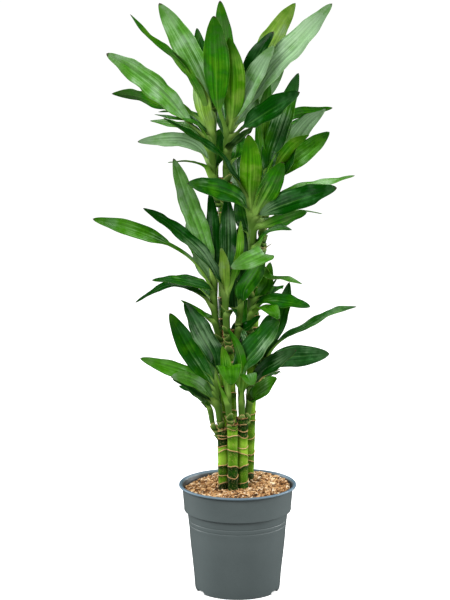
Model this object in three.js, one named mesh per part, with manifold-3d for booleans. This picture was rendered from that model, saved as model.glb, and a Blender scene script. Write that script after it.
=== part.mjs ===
// A potted corn plant (Dracaena fragrans): six ringed canes of different heights stand in a grey
// grow pot filled with soil, and leafy shoots grow out of the canes near their tops.
// Millimetres, +Z up. The origin is the middle of the pot's underside, where it stands on a table.
// The plant's front is the -Y side.

import * as THREE from 'three';
import { mergeVertices } from 'three/addons/utils/BufferGeometryUtils.js';
import Module from 'manifold-3d';

const wasm = await Module();
wasm.setup();

// ---------------------------------------------------------------- driving sizes

const GAP = 0.3; // clearance between a piece and what carries it
const POT_SIDES = 36;
const POT_WALL = 2.2;
const POT_HEIGHT = 224;
const LIP_RADIUS = 121.5;
const BAND_TOP = 218; // the band is the upright stretch under the lip
const BAND_BOTTOM = 169.5;
const LEDGE = 166.5; // the body ends here, and a ledge runs out to the band
const BAND_RADIUS = 112.5;
const BODY_RADIUS = 100.4; // the tapered body, just under the band
const FOOT_RADIUS = 87;
const FOOT_WIDTH = 9;
const FOOT_RISE = 7; // how far the underside stands off the table between pad and foot
const PAD_RADIUS = 24;
const GROOVES = [141, 150.5]; // heights of the two fine ring grooves
const NOTCH = { width: 29, height: 6.4 };
const DRAIN = { radius: 5, ring: 50 };
const DRAIN_TURNS = [28, 152, 208, 332]; // degrees from +X, one drain hole and one notch at each

const SOIL_TOP = 209;
const SOIL_HEAP = 13; // the soil rises this much towards the back right
const HUMPS = [ // a mound before the canes, and a hollow at the left: place, reach and rise
  { at: [4, -48], reach: 17, rise: 5 }, { at: [-66, -22], reach: 12, rise: -7 },
];
const CANE_FOOT = 70; // the canes reach down to this height in the soil
const CANE_SIDES = 8;
const SCAR_STEP = 0.8; // a leaf scar stands out this much from the cane

const STEM_SIDES = 6;
const BLADE = 1.6; // thickness of a leaf at its midrib, from where it thins to the margins
const WAVE = 0.045; // how far the margin waves, as a share of the leaf's width
const NECK_WIDTH = 13; // the channelled foot of a leaf, where it clasps the stem
const SEGMENT = 30; // length of leaf between two cross-sections

// The plant was measured from a point straight in front of it, this far off and this high.
// A place is written as [across, up, depth]: where it appears, seen from there, on the upright
// plane through the pot's axis, and how far it really lies behind (+) or before (-) that plane.
const EYE = new THREE.Vector3(-26, -4000, 1295);

// ---------------------------------------------------------------- the plant

// A cane: the foot and the top of its axis as [x, y], its top height, radius and leaf scars.
const canes = [
  { name: 'cane_1', foot: [-27, 0], head: [-31, 0], top: 340, radius: 10.3,
    scars: [223, 239, 266, 292, 303, 319, 327, 335] },
  { name: 'cane_2', foot: [-8, -15], head: [-11, -15], top: 352, radius: 10,
    scars: [244, 262, 296, 327, 343] },
  { name: 'cane_3', foot: [13, 1], head: [9, 0], top: 362, radius: 10.8,
    scars: [228, 259, 285, 302, 327, 337, 350] },
  { name: 'cane_4', foot: [19, 44], head: [36, 42], top: 690, radius: 10.5,
    scars: [232, 261, 281, 313, 345, 362, 398, 436, 470, 508, 545, 575, 598, 623, 642, 660] },
  { name: 'cane_5', foot: [3, 30], head: [-20, 20], top: 540, radius: 10.5,
    scars: [236, 270, 306, 340, 372, 408, 444, 478, 503, 516, 528] },
  { name: 'cane_6', foot: [-27, 46], head: [-30, 44], top: 852, radius: 10.6,
    scars: [240, 282, 326, 370, 418, 466, 512, 560, 606, 652, 700, 744, 786, 815, 838] },
];

// A shoot: the places its stem passes, the radius at its foot and its head, and its leaves.
// A leaf: [height where it leaves the stem, places along its midrib, width, turn, neck].
// At turn 0 the upper face looks up and towards the stem; a turn in degrees rolls it towards the
// front, and a negative one shows the underside there. Neck is the narrow share of the length.
const shoots = [
  { name: 'shoot_top_left', cane: 'cane_6', radii: [9, 6],
    stem: [[-36, 800, 44], [-47, 850, 40], [-52, 900, 36], [-50, 960, 33], [-48, 1005, 32]],
    leaves: [
      [965, [[-70, 1045, 40], [-113, 1132, 58], [-157, 1206, 84]], 55, 50],
      [955, [[-90, 1048, -16], [-121, 1092, -30], [-158, 1124, -42], [-180, 1142, -48],
        [-215, 1184, -55]], 32, -12],
      [972, [[-90, 1060, -6], [-112, 1086, -36], [-132, 1110, -46]], 26, 35],
      [925, [[-97, 965, 18], [-150, 1020, 0], [-205, 1066, -16], [-263, 1106, -36]], 60, 58, 0.22],
      [950, [[-103, 990, 58], [-160, 1006, 78], [-205, 1022, 88], [-253, 1026, 92]], 44, -45, 0.25],
      [985, [[-70, 1080, 78], [-82, 1157, 112]], 34, 30],
      [940, [[-68, 985, 12], [-76, 1020, 4], [-87, 1062, -8]], 40, -10, 0.05],
      [912, [[-80, 962, 18], [-105, 973, 8], [-130, 977, 0], [-168, 985, -6]], 22, 20],
      [905, [[-90, 952, 24], [-125, 963, 14], [-177, 972, 6]], 34, 25],
      [875, [[-80, 918, 50], [-110, 932, 58], [-150, 933, 64], [-202, 930, 68]], 36, 50],
      [850, [[-70, 881, 26], [-100, 890, 20], [-142, 888, 12]], 26, -5],
      [975, [[-60, 1050, 90], [-75, 1130, 150]], 46, 0],
      [930, [[-100, 985, 100], [-160, 990, 170]], 44, 0],
      [862, [[-42, 900, 70], [-36, 956, 130]], 46, 0],
    ] },
  { name: 'shoot_top_middle', cane: 'cane_6', radii: [9, 6],
    stem: [[-30, 800, 44], [-23, 850, 38], [-22, 900, 32], [-18, 950, 28], [-15, 990, 26]],
    leaves: [
      [935, [[-30, 968, 4], [-40, 1000, -14], [-44, 1090, -60], [-48, 1181, -104]], 54, 0, 0.26],
      [960, [[-24, 1060, -2], [-30, 1140, -22], [-36, 1211, -38]], 45, 0],
      [940, [[-10, 985, 4], [-8, 1040, -22], [-10, 1080, -42], [-18, 1138, -66]], 47, 0],
      [903, [[-6, 925, -24], [30, 961, -84]], 36, 10],
      [970, [[20, 1040, 34], [57, 1108, 38], [86, 1162, 40], [114, 1206, 44]], 58, -68],
      [955, [[38, 1035, 18], [70, 1080, 14], [115, 1125, 12], [187, 1205, 8]], 57, 60],
      [965, [[20, 1060, 12], [44, 1112, 4], [71, 1150, 0]], 44, 72],
      [950, [[25, 1045, -4], [50, 1090, -12], [72, 1122, -16]], 44, 84],
      [945, [[36, 1010, 60], [64, 1040, 70], [92, 1078, 80]], 32, 60],
      [930, [[25, 968, -18], [45, 981, -34], [80, 1003, -56], [124, 1029, -78]], 54, 66, 0.28],
      [980, [[-28, 1070, 90], [-40, 1140, 150]], 46, 0],
      [880, [[-6, 902, 50], [-2, 950, 110]], 44, 0],
      [915, [[-30, 1000, 120], [-45, 1030, 200]], 46, 0],
    ] },
  { name: 'shoot_right_back', cane: 'cane_4', radii: [9, 6],
    stem: [[40, 650, 48], [47, 700, 54], [54, 790, 54], [64, 880, 54], [68, 925, 54]],
    leaves: [
      [850, [[66, 905, 34], [79, 945, 28], [95, 992, 24], [112, 1042, 20], [121, 1068, 18]], 46, 96, 0],
      [845, [[50, 905, 42], [50, 950, 42], [55, 1000, 40], [63, 1050, 34]], 32, 0],
      [860, [[46, 920, 40], [40, 960, 34], [37, 1000, 30], [36, 1042, 26]], 26, 20],
      [905, [[110, 982, 66], [150, 990, 74], [190, 998, 82]], 30, -55],
      [870, [[115, 937, 64], [140, 969, 70], [176, 998, 78]], 40, 62],
      [875, [[98, 940, 40], [111, 973, 36]], 30, 30],
      [850, [[92, 900, 24], [112, 925, 12], [143, 944, 4]], 34, -30],
      [840, [[113, 893, 44], [147, 919, 48], [184, 950, 52]], 45, 65],
      [830, [[95, 870, 36], [118, 918, 32]], 36, 40],
      [790, [[100, 826, 58], [150, 842, 62], [190, 849, 64], [236, 862, 68]], 36, 15],
      [885, [[95, 945, 110], [135, 980, 170]], 46, 0],
      [820, [[110, 885, 120], [150, 905, 190]], 46, 0],
      [800, [[50, 880, 120], [30, 900, 195]], 46, 0],
    ] },
  { name: 'shoot_right_front', cane: 'cane_4', radii: [9.5, 7],
    stem: [[36, 655, 34], [31, 700, 22], [29, 750, 17], [29, 805, 15]],
    leaves: [
      [784, [[25, 830, -10], [26, 880, -34], [24, 925, -50], [21, 945, -58]], 46, 0],
      [775, [[50, 840, -10], [64, 880, -22], [78, 907, -34]], 36, 45],
      [770, [[62, 830, -24], [76, 860, -42], [90, 890, -60]], 44, -40],
      [770, [[5, 812, -12], [-20, 826, -28], [-60, 838, -56], [-102, 846, -90]], 48, 62],
      [765, [[60, 789, -10], [100, 805, -28], [150, 821, -50], [200, 837, -72]], 58, 54],
      [750, [[70, 760, 24], [105, 774, 30], [140, 788, 36]], 50, -45],
      [760, [[80, 775, 46], [130, 789, 56], [172, 784, 60]], 20, 10],
      [705, [[58, 744, 6], [82, 755, -4], [110, 751, -12]], 30, 20],
      [785, [[0, 848, -12], [-15, 868, -20], [-35, 902, -32], [-80, 935, -54], [-150, 978, -82]], 34, 35],
      [658, [[60, 652, 14], [95, 651, 2], [132, 640, -8]], 26, 10],
      [695, [[54, 703, -16], [44, 697, -52], [-15, 672, -86]], 46, 30],
      [700, [[50, 712, 16], [69, 724, 8]], 10, 0],
      [785, [[20, 860, 60], [10, 920, 105]], 44, 0],
      [770, [[4, 840, 80], [-8, 900, 140]], 48, 0],
      [725, [[16, 765, 80], [2, 825, 130]], 46, 0],
    ] },
  { name: 'shoot_middle_left', cane: 'cane_5', radii: [7.5, 5.5],
    stem: [[-21, 490, 22], [-40, 540, 18], [-47, 590, 10], [-47, 650, 4]],
    leaves: [
      [640, [[-68, 715, 0], [-83, 758, -4], [-104, 815, -6], [-130, 897, -4]], 50, 60],
      [645, [[-50, 720, 14], [-52, 780, 24], [-57, 830, 36]], 30, 0],
      [620, [[-63, 648, -6], [-94, 690, -14], [-146, 724, -24], [-219, 754, -32],
        [-294, 774, -36]], 35, 60, 0.48],
      [605, [[-56, 627, -12], [-88, 639, -30], [-130, 648, -50], [-175, 648, -70]], 31, 30],
      [585, [[-70, 613, -4], [-100, 630, -8], [-140, 638, -10], [-175, 622, -12],
        [-209, 602, -14]], 30, 15],
      [628, [[-62, 668, 20], [-90, 706, 28]], 36, 50],
      [556, [[-65, 573, 10], [-90, 588, 14], [-117, 608, 16]], 24, 20],
      [638, [[-80, 712, 80], [-102, 770, 140]], 44, 0],
      [600, [[-100, 650, 80], [-170, 650, 140]], 44, 0],
    ] },
  { name: 'shoot_middle_front', cane: 'cane_5', radii: [7.5, 5.5],
    stem: [[-17, 500, 16], [-22, 545, 1], [-25, 600, -4], [-22, 645, -4]],
    leaves: [
      [610, [[-40, 648, -26], [-75, 705, -36], [-112, 740, -42], [-150, 770, -52],
        [-192, 796, -60]], 42, 45],
      [635, [[-20, 700, 6], [-20, 760, 16], [-22, 823, 30]], 36, 0],
      [613, [[-27, 655, -26], [-28, 685, -44], [-34, 716, -62]], 22, 0],
      [620, [[-4, 660, -12], [3, 695, -12], [6, 725, -10], [6, 772, -6]], 22, -50],
      [575, [[-10, 586, -14], [0, 570, -20]], 10, 0],
    ] },
  { name: 'shoot_middle_right', cane: 'cane_5', radii: [7, 5],
    stem: [[-8, 505, 24], [1, 555, 12], [5, 600, 8], [4, 635, 6]],
    leaves: [
      [590, [[15, 630, -8], [35, 660, -8], [54, 697, -4]], 46, 65],
      [542, [[24, 555, 2], [47, 576, -2]], 26, 40],
      [625, [[4, 700, 52], [8, 765, 95]], 40, 0],
      [580, [[-4, 590, 60], [-6, 640, 96], [-4, 690, 124]], 46, 0],
    ] },
  { name: 'shoot_middle_back', cane: 'cane_4', radii: [7, 5],
    stem: [[32, 490, 42], [25, 540, 26], [26, 590, 20], [28, 625, 20]],
    leaves: [
      [580, [[60, 606, 2], [100, 603, -22], [148, 593, -50]], 40, 30],
      [600, [[56, 638, 38], [62, 663, 40], [66, 686, 42]], 28, 50],
      [582, [[58, 620, 36], [80, 652, 44]], 20, 0],
      [570, [[48, 590, -20], [64, 590, -52], [84, 567, -90]], 38, 10],
      [596, [[62, 618, 44], [72, 632, 100], [80, 636, 175]], 44, 0],
      [590, [[20, 660, 80], [0, 700, 140]], 44, 0],
    ] },
  { name: 'shoot_low_back', cane: 'cane_4', radii: [6.5, 5],
    stem: [[33, 400, 44], [45, 440, 32], [54, 480, 26]],
    leaves: [
      [472, [[66, 515, 24], [82, 555, 26], [96, 600, 30], [105, 645, 36]], 36, 50],
      [460, [[75, 510, 8], [100, 531, 4], [132, 547, 0], [165, 567, -4], [200, 585, -6],
        [243, 594, -8]], 30, 25, 0.3],
      [445, [[70, 475, 28], [100, 488, 36], [140, 492, 42], [188, 496, 48]], 47, 65],
      [465, [[58, 520, 84], [66, 578, 130]], 50, 0],
      [450, [[30, 510, 70], [14, 570, 110], [10, 620, 140]], 44, 0],
      [425, [[66, 455, 100], [72, 452, 180]], 42, 0],
    ] },
  { name: 'shoot_low_right', cane: 'cane_3', radii: [6.5, 5],
    stem: [[16, 342, 4], [22, 380, 0], [25, 420, -6]],
    leaves: [
      [412, [[50, 458, -14], [85, 482, -30], [120, 504, -46]], 44, 50],
      [400, [[50, 446, 0], [90, 465, 4]], 30, -20],
      [392, [[40, 412, -34], [60, 426, -58], [81, 444, -84]], 48, 64],
    ] },
  { name: 'shoot_low_middle', cane: 'cane_3', radii: [6.5, 5],
    stem: [[8, 348, 1], [8, 380, -10], [6, 435, -14]],
    leaves: [
      [420, [[12, 475, -18], [36, 507, -26], [60, 537, -32], [86, 569, -38]], 62, 60],
      [390, [[12, 430, -44], [18, 452, -76], [30, 428, -116]], 44, 0, 0.26],
      [428, [[8, 480, -24], [-4, 520, -30], [-21, 549, -36]], 20, -30],
      [400, [[9, 430, 30], [8, 470, 64], [2, 520, 90], [-6, 562, 106]], 46, 0, 0.42],
    ] },
  { name: 'shoot_low_front', cane: 'cane_2', radii: [6.5, 5],
    stem: [[-12, 335, -13], [-18, 372, -27], [-20, 420, -30]],
    leaves: [
      [410, [[-20, 445, -52], [-18, 469, -84], [-12, 430, -126]], 50, 0, 0.28],
      [395, [[-38, 430, -38], [-44, 455, -42]], 14, 0],
      [412, [[-22, 455, -38], [-26, 487, -40], [-32, 513, -42]], 24, -40],
    ] },
  { name: 'shoot_low_left', cane: 'cane_1', radii: [7, 5],
    stem: [[-31, 325, 0], [-37, 360, -10], [-40, 400, -12], [-41, 445, -12]],
    leaves: [
      [415, [[-75, 465, 6], [-97, 500, 10], [-117, 538, 14], [-139, 581, 18]], 44, 60],
      [435, [[-50, 490, -18], [-68, 525, -24], [-86, 560, -28], [-109, 603, -30]], 55, 60],
      [405, [[-75, 438, 0], [-112, 456, 0], [-152, 470, 2], [-200, 487, 4]], 36, 55],
      [390, [[-60, 410, -24], [-80, 430, -40], [-110, 444, -60], [-137, 447, -80]], 42, 45],
      [385, [[-80, 416, -8], [-110, 434, -12], [-134, 443, -14]], 30, 30],
      [430, [[-75, 480, 40], [-110, 515, 100]], 44, 0],
      [395, [[-95, 445, 60], [-140, 468, 130]], 42, 0],
    ] },
  { name: 'shoot_low_outer', cane: 'cane_1', radii: [5.5, 4],
    stem: [[-34, 312, 2], [-50, 345, 0], [-56, 382, 0]],
    leaves: [
      [378, [[-68, 400, -2], [-94, 420, -6]], 24, 45],
      [368, [[-60, 383, 6], [-76, 395, 8]], 12, 0],
      [375, [[-80, 410, 60], [-120, 430, 120]], 36, 0],
    ] },
];

// ---------------------------------------------------------------- solids

const material = (color, roughness) => new THREE.MeshStandardMaterial({ color, roughness, metalness: 0 });

const finishes = {
  pot: material(0x5a6362, 0.55),
  soil: material(0x8a6a48, 0.95),
  cane: material(0x7a8a3c, 0.6),
  leaf: material(0x2f6b1c, 0.4),
};

const UP = new THREE.Vector3(0, 0, 1);

/** A solid from any closed three.js geometry: its equal corners are joined, its empty faces dropped. */
function solid(geometry) {
  const bare = geometry.clone();
  bare.deleteAttribute('normal');
  bare.deleteAttribute('uv');
  const merged = mergeVertices(bare, 1e-4);
  const corners = [];
  for (let i = 0; i < merged.index.count; i += 3) {
    const [a, b, c] = [0, 1, 2].map((k) => merged.index.getX(i + k));
    if (a !== b && b !== c && c !== a) corners.push(a, b, c);
  }
  return new wasm.Manifold(new wasm.Mesh({
    numProp: 3,
    vertProperties: new Float32Array(merged.attributes.position.array),
    triVerts: new Uint32Array(corners),
  }));
}

/** A named mesh from a solid. */
function mesh(name, body, finish) {
  const { vertProperties, triVerts } = body.getMesh();
  const geometry = new THREE.BufferGeometry();
  geometry.setAttribute('position', new THREE.BufferAttribute(vertProperties, 3));
  geometry.setIndex(new THREE.BufferAttribute(triVerts, 1));
  geometry.computeVertexNormals();
  const result = new THREE.Mesh(geometry, finish);
  result.name = name;
  return result;
}

/** A lathe about +Z from [radius, height] pairs that run anticlockwise, outside going up. */
function lathe(profile, sides) {
  const geometry = new THREE.LatheGeometry(profile.map(([r, z]) => new THREE.Vector2(r, z)), sides);
  return geometry.rotateX(Math.PI / 2);
}

/** Where the axis of an upright piece lies at height z: a smooth line through its points. */
function along(points, z) {
  const last = points.length - 1;
  const slope = (i) => {
    const a = points[Math.max(i - 1, 0)];
    const b = points[Math.min(i + 1, last)];
    return b.clone().sub(a).divideScalar(b.z - a.z);
  };
  let i = 0;
  while (i < last - 1 && z > points[i + 1].z) i += 1;
  const [a, b] = [points[i], points[i + 1]];
  const span = b.z - a.z;
  const k = (z - a.z) / span;
  return new THREE.Vector3()
    .addScaledVector(a, (1 + 2 * k) * (1 - k) ** 2)
    .addScaledVector(slope(i), span * k * (1 - k) ** 2)
    .addScaledVector(b, k * k * (3 - 2 * k))
    .addScaledVector(slope(i + 1), span * k * k * (k - 1));
}

/** Moves each level of a lathe sideways onto the line through points. */
function lean(geometry, points) {
  const place = geometry.attributes.position;
  for (let i = 0; i < place.count; i += 1) {
    const z = place.getZ(i);
    const axis = along(points, z);
    place.setXY(i, place.getX(i) + axis.x, place.getY(i) + axis.y);
  }
  return geometry;
}

/** The real place of a spot written as it appears from the front. */
function spot([across, up, depth]) {
  const nearer = 1 - depth / EYE.y;
  return new THREE.Vector3(
    EYE.x + (across - EYE.x) * nearer,
    depth,
    EYE.z + (up - EYE.z) * nearer,
  );
}

/** A closed solid from rings of four points, whose last ring is a single point. */
function loft(rings) {
  const size = 4;
  const positions = rings.flat().flatMap((p) => [p.x, p.y, p.z]);
  const index = [2, 1, 0, 3, 2, 0];
  for (let i = 0; i + 1 < rings.length; i += 1) {
    for (let k = 0; k < size; k += 1) {
      const [a, b] = [i * size + k, i * size + (k + 1) % size];
      // the under side's two strips run back, and are split along the upper side's lines
      if (k < 2) index.push(a, b + size, a + size, a, b, b + size);
      else index.push(a, b, a + size, b, b + size, a + size);
    }
  }
  const geometry = new THREE.BufferGeometry();
  geometry.setAttribute('position', new THREE.Float32BufferAttribute(positions, 3));
  geometry.setIndex(index);
  return geometry;
}

// ---------------------------------------------------------------- leaves and shoots

/** A leaf's half width and the angle of its channel, at share s of its length. */
function outline(s, width, neck) {
  const q = Math.max(0, (s - neck) / (1 - neck));
  const blade = Math.max(0, Math.sin(Math.PI * q ** 1.05)) ** 0.62;
  return {
    half: (NECK_WIDTH / 2) * (1 - q) + (width / 2 - NECK_WIDTH / 4) * blade,
    fold: 0.16 + 0.75 * (1 - q) ** 5,
    blade,
  };
}

/** One leaf, from its root on the stem's axis to its tip. */
function leaf(root, places, width, turn, neck = 0.12) {
  const rib = new THREE.CatmullRomCurve3([root, ...places.map(spot)], false, 'centripetal');
  const tip = rib.points.at(-1);
  const heading = new THREE.Vector3(tip.x - root.x, tip.y - root.y, 0).normalize();
  const roll = THREE.MathUtils.degToRad(turn) * (heading.x < 0 ? -1 : 1);
  const count = Math.max(3, Math.round(rib.getLength() / SEGMENT));
  const rings = [];
  for (let i = 0; i <= count; i += 1) {
    const s = i / count;
    const { half, fold, blade } = outline(s, width, neck);
    const ahead = rib.getTangentAt(s);
    const face = UP.clone().multiplyScalar(ahead.dot(heading)).addScaledVector(heading, -ahead.z);
    face.addScaledVector(ahead, -ahead.dot(face)).normalize();
    face.applyAxisAngle(ahead, roll * THREE.MathUtils.smoothstep(s, 0, neck + 0.15));
    const across = ahead.clone().cross(face);
    const middle = rib.getPointAt(s);
    const sway = WAVE * width * blade * Math.cos(Math.PI * count * s); // up, then down
    const edge = (side) => middle.clone()
      .addScaledVector(across, side * half * Math.cos(fold))
      .addScaledVector(face, half * Math.sin(fold) + side * sway);
    const thick = i === count ? 0 : BLADE;
    const top = middle.clone().addScaledVector(face, thick / 2);
    const under = middle.clone().addScaledVector(face, -thick / 2);
    rings.push([edge(-1), top, edge(1), under]);
  }
  return solid(loft(rings));
}

/** A shoot: its stem and its leaves grown together, with its foot cut to the face of its cane. */
function shoot({ stem, radii, leaves }, caneFace) {
  const line = stem.map(spot);
  const [foot, head] = [line[0].z, line.at(-1).z];
  const [wide, slim] = radii;
  const levels = 3;
  const profile = [[0, foot]];
  for (let i = 0; i <= levels; i += 1) {
    const k = i / levels;
    profile.push([wide + (slim - wide) * k, foot + (head - foot) * k]);
  }
  profile.push([0, head + 2 * slim]);
  let body = solid(lean(lathe(profile, STEM_SIDES), line));
  for (const [height, ...rest] of leaves) {
    body = body.add(leaf(along(line, Math.min(height, head)), ...rest));
  }
  return body.subtract(caneFace);
}

// ---------------------------------------------------------------- canes, soil and pot

/** A cane: each stretch between two leaf scars widens a little to the step of the scar above. */
function cane({ foot, head, top, radius, scars }, grow = 0) {
  const [from, to] = [CANE_FOOT - grow, top + grow];
  const r = radius + grow;
  const profile = [[0, from], [r - 1, from], [r, from + 4]];
  for (const z of scars) profile.push([r + SCAR_STEP, z], [r, z + 1.5]);
  profile.push([r, to - 1.5], [r - 1.5, to], [0, to]);
  const axis = [new THREE.Vector3(...foot, from), new THREE.Vector3(...head, to)];
  return solid(lean(lathe(profile, CANE_SIDES), axis));
}

/** A plain round hole for a cane, a little wider than its widest scar. */
function caneHole({ foot, head, top, radius }) {
  const r = radius + SCAR_STEP + GAP;
  const [from, to] = [CANE_FOOT - GAP, SOIL_TOP + 60];
  const axis = [new THREE.Vector3(...foot, CANE_FOOT), new THREE.Vector3(...head, top)];
  return solid(lean(lathe([[0, from], [r, from], [r, to], [0, to]], CANE_SIDES), axis));
}

/** The inner wall of the pot at height z. */
const innerRadius = (z) => {
  const steps = [[FOOT_RISE, FOOT_RADIUS - 3], [136, BODY_RADIUS - POT_WALL], [LEDGE, BODY_RADIUS + 1.6],
    [LEDGE + 7, BAND_RADIUS - 3.7], [BAND_TOP, BAND_RADIUS], [POT_HEIGHT, LIP_RADIUS - 5.5]];
  const i = Math.max(1, steps.findIndex(([up]) => z <= up));
  const [[z0, r0], [z1, r1]] = [steps[i - 1], steps[i]];
  return r0 + ((r1 - r0) * (z - z0)) / (z1 - z0);
};

/** The height of the soil at (x, y): heaped towards the back right, with humps and small clods. */
function soilHeight(x, y) {
  const heap = SOIL_HEAP * THREE.MathUtils.smoothstep(0.6 * x + 0.8 * y, -40, 90);
  const clods = 1.6 * Math.sin(x / 7 + 1.3 * Math.sin(y / 11)) * Math.cos(y / 8 - x / 19);
  const humps = HUMPS.map(({ at, reach, rise }) =>
    rise * Math.exp(-((x - at[0]) ** 2 + (y - at[1]) ** 2) / (2 * reach ** 2)));
  return humps.reduce((sum, hump) => sum + hump, SOIL_TOP + heap + clods);
}

/** The soil: it fills the pot, with a plain hole for each cane. */
function soil() {
  const floor = FOOT_RISE + POT_WALL + 4;
  const walls = [floor, 136, LEDGE, LEDGE + 7, SOIL_TOP];
  const profile = [[0, floor], ...walls.map((z) => [innerRadius(z) - GAP, z])];
  const rim = profile.at(-1)[0];
  for (let ring = 4; ring >= 0; ring -= 1) profile.push([(rim * ring) / 5, SOIL_TOP]);
  const geometry = lathe(profile, POT_SIDES);
  const place = geometry.attributes.position;
  for (let i = 0; i < place.count; i += 1) {
    const [x, y, z] = [place.getX(i), place.getY(i), place.getZ(i)];
    if (Math.abs(z - SOIL_TOP) < 0.01) {
      const inside = THREE.MathUtils.smoothstep(rim - Math.hypot(x, y), 0, 10);
      place.setZ(i, SOIL_TOP + (soilHeight(x, y) - SOIL_TOP) * inside);
    }
  }
  return canes.reduce((body, each) => body.subtract(caneHole(each)), solid(geometry));
}

/** The grow pot, with notches in its foot and drain holes in its raised underside. */
function pot() {
  const floor = FOOT_RISE + POT_WALL;
  const groove = (z, r) => [[r + 0.1, z - 1.2], [r - 0.9, z], [r + 0.3, z + 1.2]];
  const outside = [
    [0, 0], [PAD_RADIUS, 0], [PAD_RADIUS + 3, FOOT_RISE],
    [FOOT_RADIUS - FOOT_WIDTH - 2, FOOT_RISE], [FOOT_RADIUS - FOOT_WIDTH, 0],
    [FOOT_RADIUS - 1.5, 0], [FOOT_RADIUS + 1.6, FOOT_RISE], [94, 65], [98, 101], [BODY_RADIUS, 134],
    ...groove(GROOVES[0], 101.2), ...groove(GROOVES[1], 102.2), [BODY_RADIUS + 4, LEDGE],
    [BAND_RADIUS - 1.6, BAND_BOTTOM], [BAND_RADIUS + 2, BAND_TOP], [LIP_RADIUS, BAND_TOP + 1.5],
    [LIP_RADIUS, POT_HEIGHT - 2], [LIP_RADIUS - 2, POT_HEIGHT],
  ];
  const walls = [POT_HEIGHT, BAND_TOP, LEDGE + 7, LEDGE, 136, floor + 4];
  const inside = walls.map((z) => [innerRadius(z), z]);
  const bottom = [[innerRadius(floor + 4) - 4, floor], [0, floor]];
  let body = solid(lathe([...outside, ...inside, ...bottom], POT_SIDES));
  for (const degrees of DRAIN_TURNS) {
    const turn = THREE.MathUtils.degToRad(degrees);
    const notch = new THREE.BoxGeometry(2 * FOOT_WIDTH, NOTCH.width, 2 * NOTCH.height)
      .translate(FOOT_RADIUS - 2, 0, 0).rotateZ(turn);
    const drain = new THREE.CylinderGeometry(DRAIN.radius, DRAIN.radius, 3 * FOOT_RISE, 8)
      .rotateX(Math.PI / 2).translate(DRAIN.ring, 0, FOOT_RISE + POT_WALL / 2).rotateZ(turn);
    body = body.subtract(solid(notch)).subtract(solid(drain));
  }
  return body;
}

// ---------------------------------------------------------------- the whole plant

const plant = new THREE.Group();
plant.add(mesh('pot', pot(), finishes.pot), mesh('soil', soil(), finishes.soil));
for (const each of canes) plant.add(mesh(each.name, cane(each), finishes.cane));
for (const each of shoots) {
  const carrier = canes.find(({ name }) => name === each.cane);
  plant.add(mesh(each.name, shoot(each, cane(carrier, GAP)), finishes.leaf));
}

export default plant;
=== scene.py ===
"""The looks of a potted corn plant: six ringed canes in a grey grow pot, with leafy shoots.

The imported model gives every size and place. This script dresses it: each leaf is a thin, folded
and waved blade with a sheath round its stem, each cane has slanting leaf scars, the soil is
covered with chips of bark, and the pot is a moulded shell with a rolled lip.
Lengths in the tables are millimetres. Blender's are metres, and MM turns one into the other.
"""

from __future__ import annotations

import logging
import math
import random
from dataclasses import dataclass, field
from enum import Enum
from typing import Sequence

import bpy
import numpy as np
from mathutils import Euler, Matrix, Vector, noise


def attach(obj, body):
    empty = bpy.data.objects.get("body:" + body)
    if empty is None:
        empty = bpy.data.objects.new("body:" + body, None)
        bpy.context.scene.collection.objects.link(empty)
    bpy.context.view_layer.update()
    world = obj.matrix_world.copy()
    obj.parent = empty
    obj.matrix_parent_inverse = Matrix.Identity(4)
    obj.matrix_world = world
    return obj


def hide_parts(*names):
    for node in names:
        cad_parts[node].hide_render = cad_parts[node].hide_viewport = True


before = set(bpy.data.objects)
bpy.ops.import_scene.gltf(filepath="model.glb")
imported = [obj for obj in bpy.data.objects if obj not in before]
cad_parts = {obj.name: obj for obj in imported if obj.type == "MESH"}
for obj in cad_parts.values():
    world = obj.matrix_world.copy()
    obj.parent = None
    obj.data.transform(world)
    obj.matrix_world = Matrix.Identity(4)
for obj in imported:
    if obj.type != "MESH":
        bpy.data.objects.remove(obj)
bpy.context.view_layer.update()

LOG = logging.getLogger("corn_plant")
MM = 0.001
BODY = "root"
UP = np.array([0.0, 0.0, 1.0])

Array = np.ndarray
Colour = tuple[int, int, int]  # red, green and blue as the eye reads them, from 0 to 255
Pair = tuple[float, float]
Point = tuple[float, ...]
Profile = list[Pair]  # (radius, height) places up a wall

Material = bpy.types.Material
Node = bpy.types.Node
Piece = bpy.types.Object
Socket = bpy.types.NodeSocket
Tree = bpy.types.NodeTree


# ------------------------ small mathematics


def smooth(x: Array | float, low: float, high: float) -> Array | float:
    """A soft step.

    Args:
        x: the number or numbers that it depends on.
        low: where the step starts.
        high: where it ends.

    Returns:
        0 up to low, 1 from high on, and a smooth rise in between.
    """
    k = np.clip((np.asarray(x, float) - low) / (high - low), 0.0, 1.0)
    return k * k * (3.0 - 2.0 * k)


def unit(rows: Array) -> Array:
    """Each row of an array as a unit vector."""
    return rows / np.maximum(np.linalg.norm(rows, axis=-1, keepdims=True), 1e-9)


def rippled(values: Array, seed: float) -> Array:
    """Smooth noise from -1 to 1 along a row of numbers, different for each seed."""
    return np.array([noise.noise(Vector((float(v), seed, 0.0))) for v in values])


def linear(red: int, green: int, blue: int) -> tuple[float, float, float, float]:
    """A colour as the linear colour that a shader takes.

    Args:
        red: its red as the eye reads it, from 0 to 255.
        green: its green.
        blue: its blue.

    Returns:
        Linear red, green and blue from 0 to 1, and an opaque alpha.
    """

    def channel(value: float) -> float:
        """One channel from 0 to 1, by the usual curve of screens and cameras."""
        return value / 12.92 if value <= 0.04045 else ((value + 0.055) / 1.055) ** 2.4

    return (channel(red / 255), channel(green / 255), channel(blue / 255), 1.0)


# ------------------------ where the plant was seen from

EYE = np.array([-26.0, -4000.0, 1295.0])  # the studio's camera stands here too


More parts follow.
